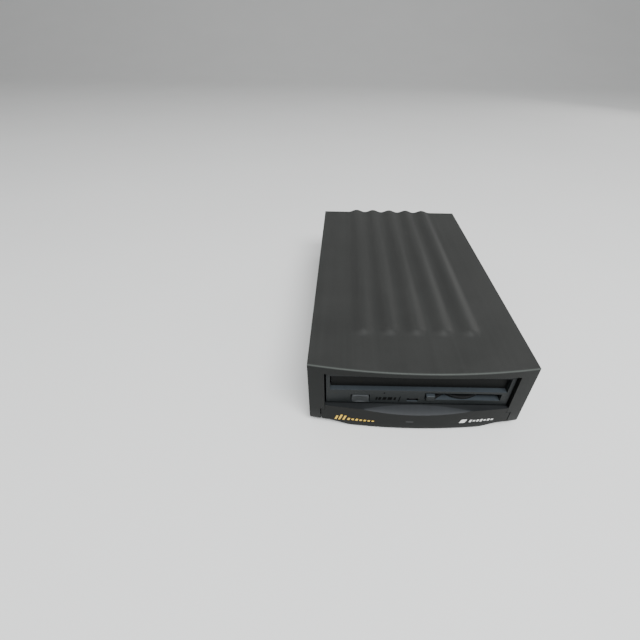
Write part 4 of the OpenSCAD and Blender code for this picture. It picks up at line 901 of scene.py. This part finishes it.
def stop_button():
    """The key: a rounded cap whose face is dished by a parabola across x, with a flange and a stem."""
    front, back = BUTTON_LOW[1], BUTTON_LOW[1] + 5.3
    w, h = BUTTON_W / 2, BUTTON_H / 2
    rim_x, rim_z, depth, corner_cut = 0.9, 0.8, 0.45, 0.35
    xs = np.concatenate([[-w], np.linspace(-w + rim_x, w - rim_x, 13), [w]])
    zs = np.concatenate([[-h], np.linspace(-h + rim_z, h - rim_z, 5), [h]])

    def place(x, y, z, i, j, k):
        inner = (np.abs(x) < w - rim_x + 0.05) * (np.abs(z) < h - rim_z + 0.05)
        dish = depth * (1 - (x / (w - rim_x)) ** 2) * inner
        cut = corner_cut * ((np.abs(x) > w - 0.01) & (np.abs(z) > h - 0.01))
        y = y + np.where(j == 0, dish, 0)
        return x - np.sign(x) * cut + BUTTON_X, y, z - np.sign(z) * cut + BUTTON_Z

    cap = block_solid(xs, [front, back], zs, every_cell, place)
    flange = lie_back(round_prism(round_rect(BUTTON_W + 2, BUTTON_H + 0.4, 0.9), 0, 1, 0.1, 0.1),
                      (BUTTON_X, back + 0.001, BUTTON_Z))
    stem = lie_back(round_prism(round_rect(3, 2.4, 0.4), 0, BUTTON_HIGH[1] - back - 1, 0.1, 0.2),
                    (BUTTON_X, back + 1.001, Z_DRIVE + 4.0))
    return soften(make_mesh("stop_button_cap", *join(cap, flange, stem)), 0.3)


def status_window():
    """The window's lens: a flat plate, set back in its hole."""
    gap, set_back = 0.06, 0.75
    plate = lie_back(round_prism(round_rect(LED_W - gap, LED_H - gap, 0.3), 0, 2.6, 0.1, 0),
                     (LED_X, Y_FACE + set_back, LED_Z))
    return make_mesh("status_window_lens", *plate)


def status_bar():
    """The small bar in the middle of the lens, which stands a little ahead of it."""
    set_back = 0.6
    bar = lie_back(round_prism(round_rect(LED_W - 2.6, LED_H - 1.5, 0.3), 0, 1.2, 0.15, 0),
                   (LED_X, Y_FACE + set_back, LED_Z + 0.1))
    return make_mesh("status_window_bar", *bar)


def eject_lever():
    """The lever in two pieces: a round hub with an arm and a spiral cam slot, and the grip."""
    px, py = (POST_LOW[0] + POST_HIGH[0]) / 2, (POST_LOW[1] + POST_HIGH[1]) / 2
    hub_r, hub_t, depth, tab_x = 13.7, 1.8, 14.0, 18.1
    z0 = LEVER_LOW[2]
    hub = round_prism(circle(hub_r, 96), z0, z0 + hub_t, 0.3, 0.35)
    arm_angle = math.atan2(-depth, -tab_x)
    reach, arm_start, arm_w = math.hypot(depth, tab_x), 9, 4
    aim = np.array([math.cos(arm_angle), math.sin(arm_angle)])
    turn = np.array([aim, [-aim[1], aim[0]]])
    outline = round_rect(reach - arm_start, arm_w, 0.8) @ turn + aim * (reach + arm_start) / 2
    arm = round_prism(outline, z0 + 0.05, z0 + hub_t - 0.05, 0.2, 0.2)
    grip = round_prism(round_rect(5, 4.5, 0.7) + [-tab_x, -depth + 0.75], z0, LEVER_HIGH[2], 0.35, 0.45)
    piece = make_mesh("eject_lever_arm", *join(hub, arm))
    handle = make_mesh("eject_lever_grip", *grip)
    for shape in (piece, handle):
        shape.data.transform(Matrix.Translation((px * MM, py * MM, 0)))
    swing, r0, throw, cam_half = 2 * math.atan2(tab_x, depth), 5.6, 5.0, 1.55
    t = np.linspace(0, 1, 25)
    angle = math.pi / 2 - swing * t
    out = np.column_stack([np.cos(angle), np.sin(angle)])
    along = np.column_stack([out[:, 1], -out[:, 0]])
    spine = out * (r0 + throw * t)[:, None]
    a = np.radians(np.linspace(0, 180, 13)[1:-1])[:, None]
    far_end = spine[-1] + cam_half * (out[-1] * np.cos(a) + along[-1] * np.sin(a))
    near_end = spine[0] - cam_half * (out[0] * np.cos(a) + along[0] * np.sin(a))
    outer_side, inner_side = spine + out * cam_half, spine - out * cam_half
    slot = np.concatenate([outer_side, far_end, inner_side[::-1], near_end])[::-1]
    slot_low, slot_high = z0 - 1, z0 + hub_t + 0.9
    points, faces = round_prism(slot, slot_low, slot_high, 0, 0)
    bore, bore_faces = round_prism(circle(2.05), slot_low - 0.3, slot_high + 0.3, 0, 0)
    carve(piece, (points + [px, py, 0], faces))
    carve(piece, (bore + [px, py, 0], bore_faces))
    return piece, handle


def pinhole():
    """A pinhole, shown as a small dark disc that stands just proud of the face: painted shade in place of
    the hole's dark inside.
    """
    hole_r, proud = 0.5, 0.015
    disc = lie_back(round_prism(circle(hole_r, 24), 0, 0.6, 0, 0), (-18.6, Y_FACE - proud, Z_DRIVE + 8))
    return make_mesh("reset_pinhole", *disc)


dress(drive_bezel(), "root", "bezel_plastic", FACE, "drive_bezel")
dress(cartridge_door(), "door", "door_plastic", FLAP, "cartridge_door")
spring_coil, spring_leg = door_spring()
dress(spring_coil, "root", "zinc_steel", STEEL, "door_spring")
dress(spring_leg, "door", "zinc_steel", STEEL)
dress(stop_button(), "stop_key", "button_plastic", KEY, "stop_button")
dress(status_window(), "root", "smoked_lens", INK_AND_SHADE, "status_window")
dress(status_bar(), "root", "smoked_lens", LENS)
lever_arm, lever_grip = eject_lever()
# painted shade: the hub and arm get the darkened lever finish, the grip the face's own
dress(lever_arm, "lever", "bezel_plastic", LEVER_IN_SHADE, "eject_lever")
dress(lever_grip, "lever", "bezel_plastic", FACE)
# painted shade: a dark disc where the pinhole's inside lies in shade
dress(pinhole(), "root", "bezel_plastic", INK_AND_SHADE)


# ---------- prints: plain shapes in place of lettering ----------

def print_marks(name, marks, surface, lift=0.05):
    """Thin raised marks on a surface y = surface(x): (x, z, width, height, slant) each, sheared along x."""
    solids = []
    for x0, z0, w, h, slant in marks:
        def place(x, y, z, i, j, k, x0=x0, z0=z0, h=h, slant=slant):
            x = x + slant * (z - z0)
            return x, np.maximum(surface(x) + np.where(j == 0, -lift, 0.3), Y_NOSE), z
        xs, zs = np.linspace(x0 - w / 2, x0 + w / 2, 9), [z0 - h / 2, z0, z0 + h / 2]
        solids.append(block_solid(xs, [0, 1], zs, every_cell, place))
    return make_mesh(name, *join(*solids))


def flat_face(x):
    """The bezel's face as a surface for print_marks."""
    return np.full(np.shape(x), Y_FACE)


def mark_row(x0, pitch, z, w, slant, heights):
    """A row of marks of equal width, a pitch apart."""
    return [(x0 + pitch * n, z, w, h, slant) for n, h in enumerate(heights)]


left_marks = [(-44.9, 7.0, 1.1, 3.2, 0.35), (-42.6, 7.6, 1.1, 4.4, 0.35), (-40.3, 7.4, 1.1, 3.8, 0.35)]
left_marks += mark_row(-37.9, 2.3, 6.7, 1.3, 0.35, (1.9, 1.2, 1.6, 1.2, 1.2, 1.0, 0.8))
right_marks = [(27.2, 7.8, 3.2, 2.8, 0.4)]
right_marks += mark_row(31.6, 2.1, 7.7, 1.3, 0.25, (2.0, 1.2, 1.6, 2.0, 1.2, 1.6, 1.2))
dress(print_marks("left_print", left_marks, front_y), "root", "case_plastic", YELLOW)
dress(print_marks("right_print", right_marks, front_y), "root", "case_plastic", WHITE)
dress(print_marks("middle_print", [(-3.4, 7.7, 4.2, 0.6, 0)], front_y), "root", "case_plastic", FAINT)
face_marks = [(x, Z_DRIVE + 3.5, w, 2.3, 0.2)
              for x, w in ((-22.6, 1.0), (-20.8, 1.4), (-18.2, 2.0), (-15.2, 2.4), (-12.4, 1.2))]
face_marks += [(-9.8, Z_DRIVE + 3.3, 0.6, 4.2, 0.15)]
dress(print_marks("face_print", face_marks, flat_face, 0.02), "root", "bezel_plastic", INK_AND_SHADE)


# ---------- feet ----------

def rubber_feet():
    """Four discs with a rounded rim and a shallow dished sole, turned from one profile."""
    foot_r = 6.5
    profile = [(0.01, 0.35), (4.2, 0.35), (4.8, 0), (5.6, 0), (6.1, 0.25), (6.4, 0.9), (foot_r, 1.6),
               (foot_r, FEET_HIGH[2]), (0.01, FEET_HIGH[2])]
    solids = [turned(profile, at) for at in corners(FEET_LOW, FEET_HIGH, foot_r)]
    return make_mesh("rubber_feet_turned", *join(*solids))


dress(rubber_feet(), "root", "rubber", FOOT, "rubber_feet")


# ---------- stage, light and camera ----------

def floor():
    """Pale floor that sweeps up far behind the object: flat, then a quarter circle, then a wall."""
    a = np.radians(np.linspace(0, 90, 25))
    start, radius, half = 1600, 1500, 5000
    y = np.concatenate([[-half], start + radius * np.sin(a), [start + radius]])
    z = np.concatenate([[0], radius * (1 - np.cos(a)), [half]])
    sides = np.stack([np.column_stack([np.full(len(y), x), y, z]) for x in (-half, half)])
    ids = np.arange(2 * len(y)).reshape(2, len(y))
    piece = make_mesh("floor", sides.reshape(-1, 3),
                      np.stack([ids[0, :-1], ids[1, :-1], ids[1, 1:], ids[0, 1:]], 1).tolist())
    f = Finish("pale floor", Roughness=0.75)
    cloud = f.noise(160, 3)
    f.colour(f.blend(cloud, (0.78, 0.78, 0.77), (0.82, 0.82, 0.81)))
    piece.data.materials.append(f.material)


def area_light(name, at, aim, size, power, tint):
    """Rectangular lamp at a place in metres, turned towards another."""
    light = bpy.data.lights.new(name, "AREA")
    light.shape = "RECTANGLE"
    light.size, light.size_y = size
    light.energy = power
    light.color = tint
    lamp = bpy.data.objects.new(name, light)
    lamp.visible_camera = False
    bpy.context.scene.collection.objects.link(lamp)
    back = np.array(at, float) - np.array(aim, float)
    back /= np.linalg.norm(back)
    side = np.cross((0, 0, 1), back)
    side /= np.linalg.norm(side)
    up = np.cross(back, side)
    basis = np.eye(4)
    basis[:3, :3] = np.column_stack([side, up, back])
    basis[:3, 3] = np.array(at)
    lamp.matrix_world = Matrix(basis.tolist())


def light_stage():
    """One lamp behind to the right, one overhead, one above the front, and a dim even surround."""
    area_light("window", (0.95, 0.85, 0.4), (0, 0, 0.03), (0.8, 0.45), 1.5, (1, 0.99, 0.97))
    area_light("overhead", (0.1, 0.2, 1.5), (0, 0, 0), (1.6, 1.4), 5, (1, 1, 1))
    area_light("front", (0.25, -0.85, 1.2), (0, -0.05, 0.02), (1.3, 0.6), 40, (0.97, 0.99, 1))
    world = bpy.data.worlds.new("studio")
    bpy.context.scene.world = world
    world.use_nodes = True
    backdrop = world.node_tree.nodes["Background"]
    backdrop.inputs["Color"].default_value = (0.98, 0.99, 1.0, 1)
    backdrop.inputs["Strength"].default_value = 0.35


def camera():
    """Looks down on the front from close by, with a small lean and a small sideways shift."""
    elevation, lean = math.radians(38.25), math.radians(1.03)
    at = np.array([-42.7, -235.5, 181.5])
    ahead = np.array([0, math.cos(elevation), -math.sin(elevation)])
    right0 = np.array([1.0, 0, 0])
    up0 = np.cross(right0, ahead)
    right = right0 * math.cos(lean) + up0 * math.sin(lean)
    basis = np.eye(4)
    basis[:3, :3] = np.column_stack([right, np.cross(right, ahead), -ahead])
    basis[:3, 3] = at * MM
    lens = bpy.data.cameras.new("view")
    lens.sensor_width = 36
    lens.lens = 20.76
    lens.shift_x, lens.shift_y = -0.0344, 0.0029
    lens.clip_start = 0.01
    eye = bpy.data.objects.new("view", lens)
    eye.matrix_world = Matrix(basis.tolist())
    bpy.context.scene.collection.objects.link(eye)
    bpy.context.scene.camera = eye


floor()
light_stage()
camera()
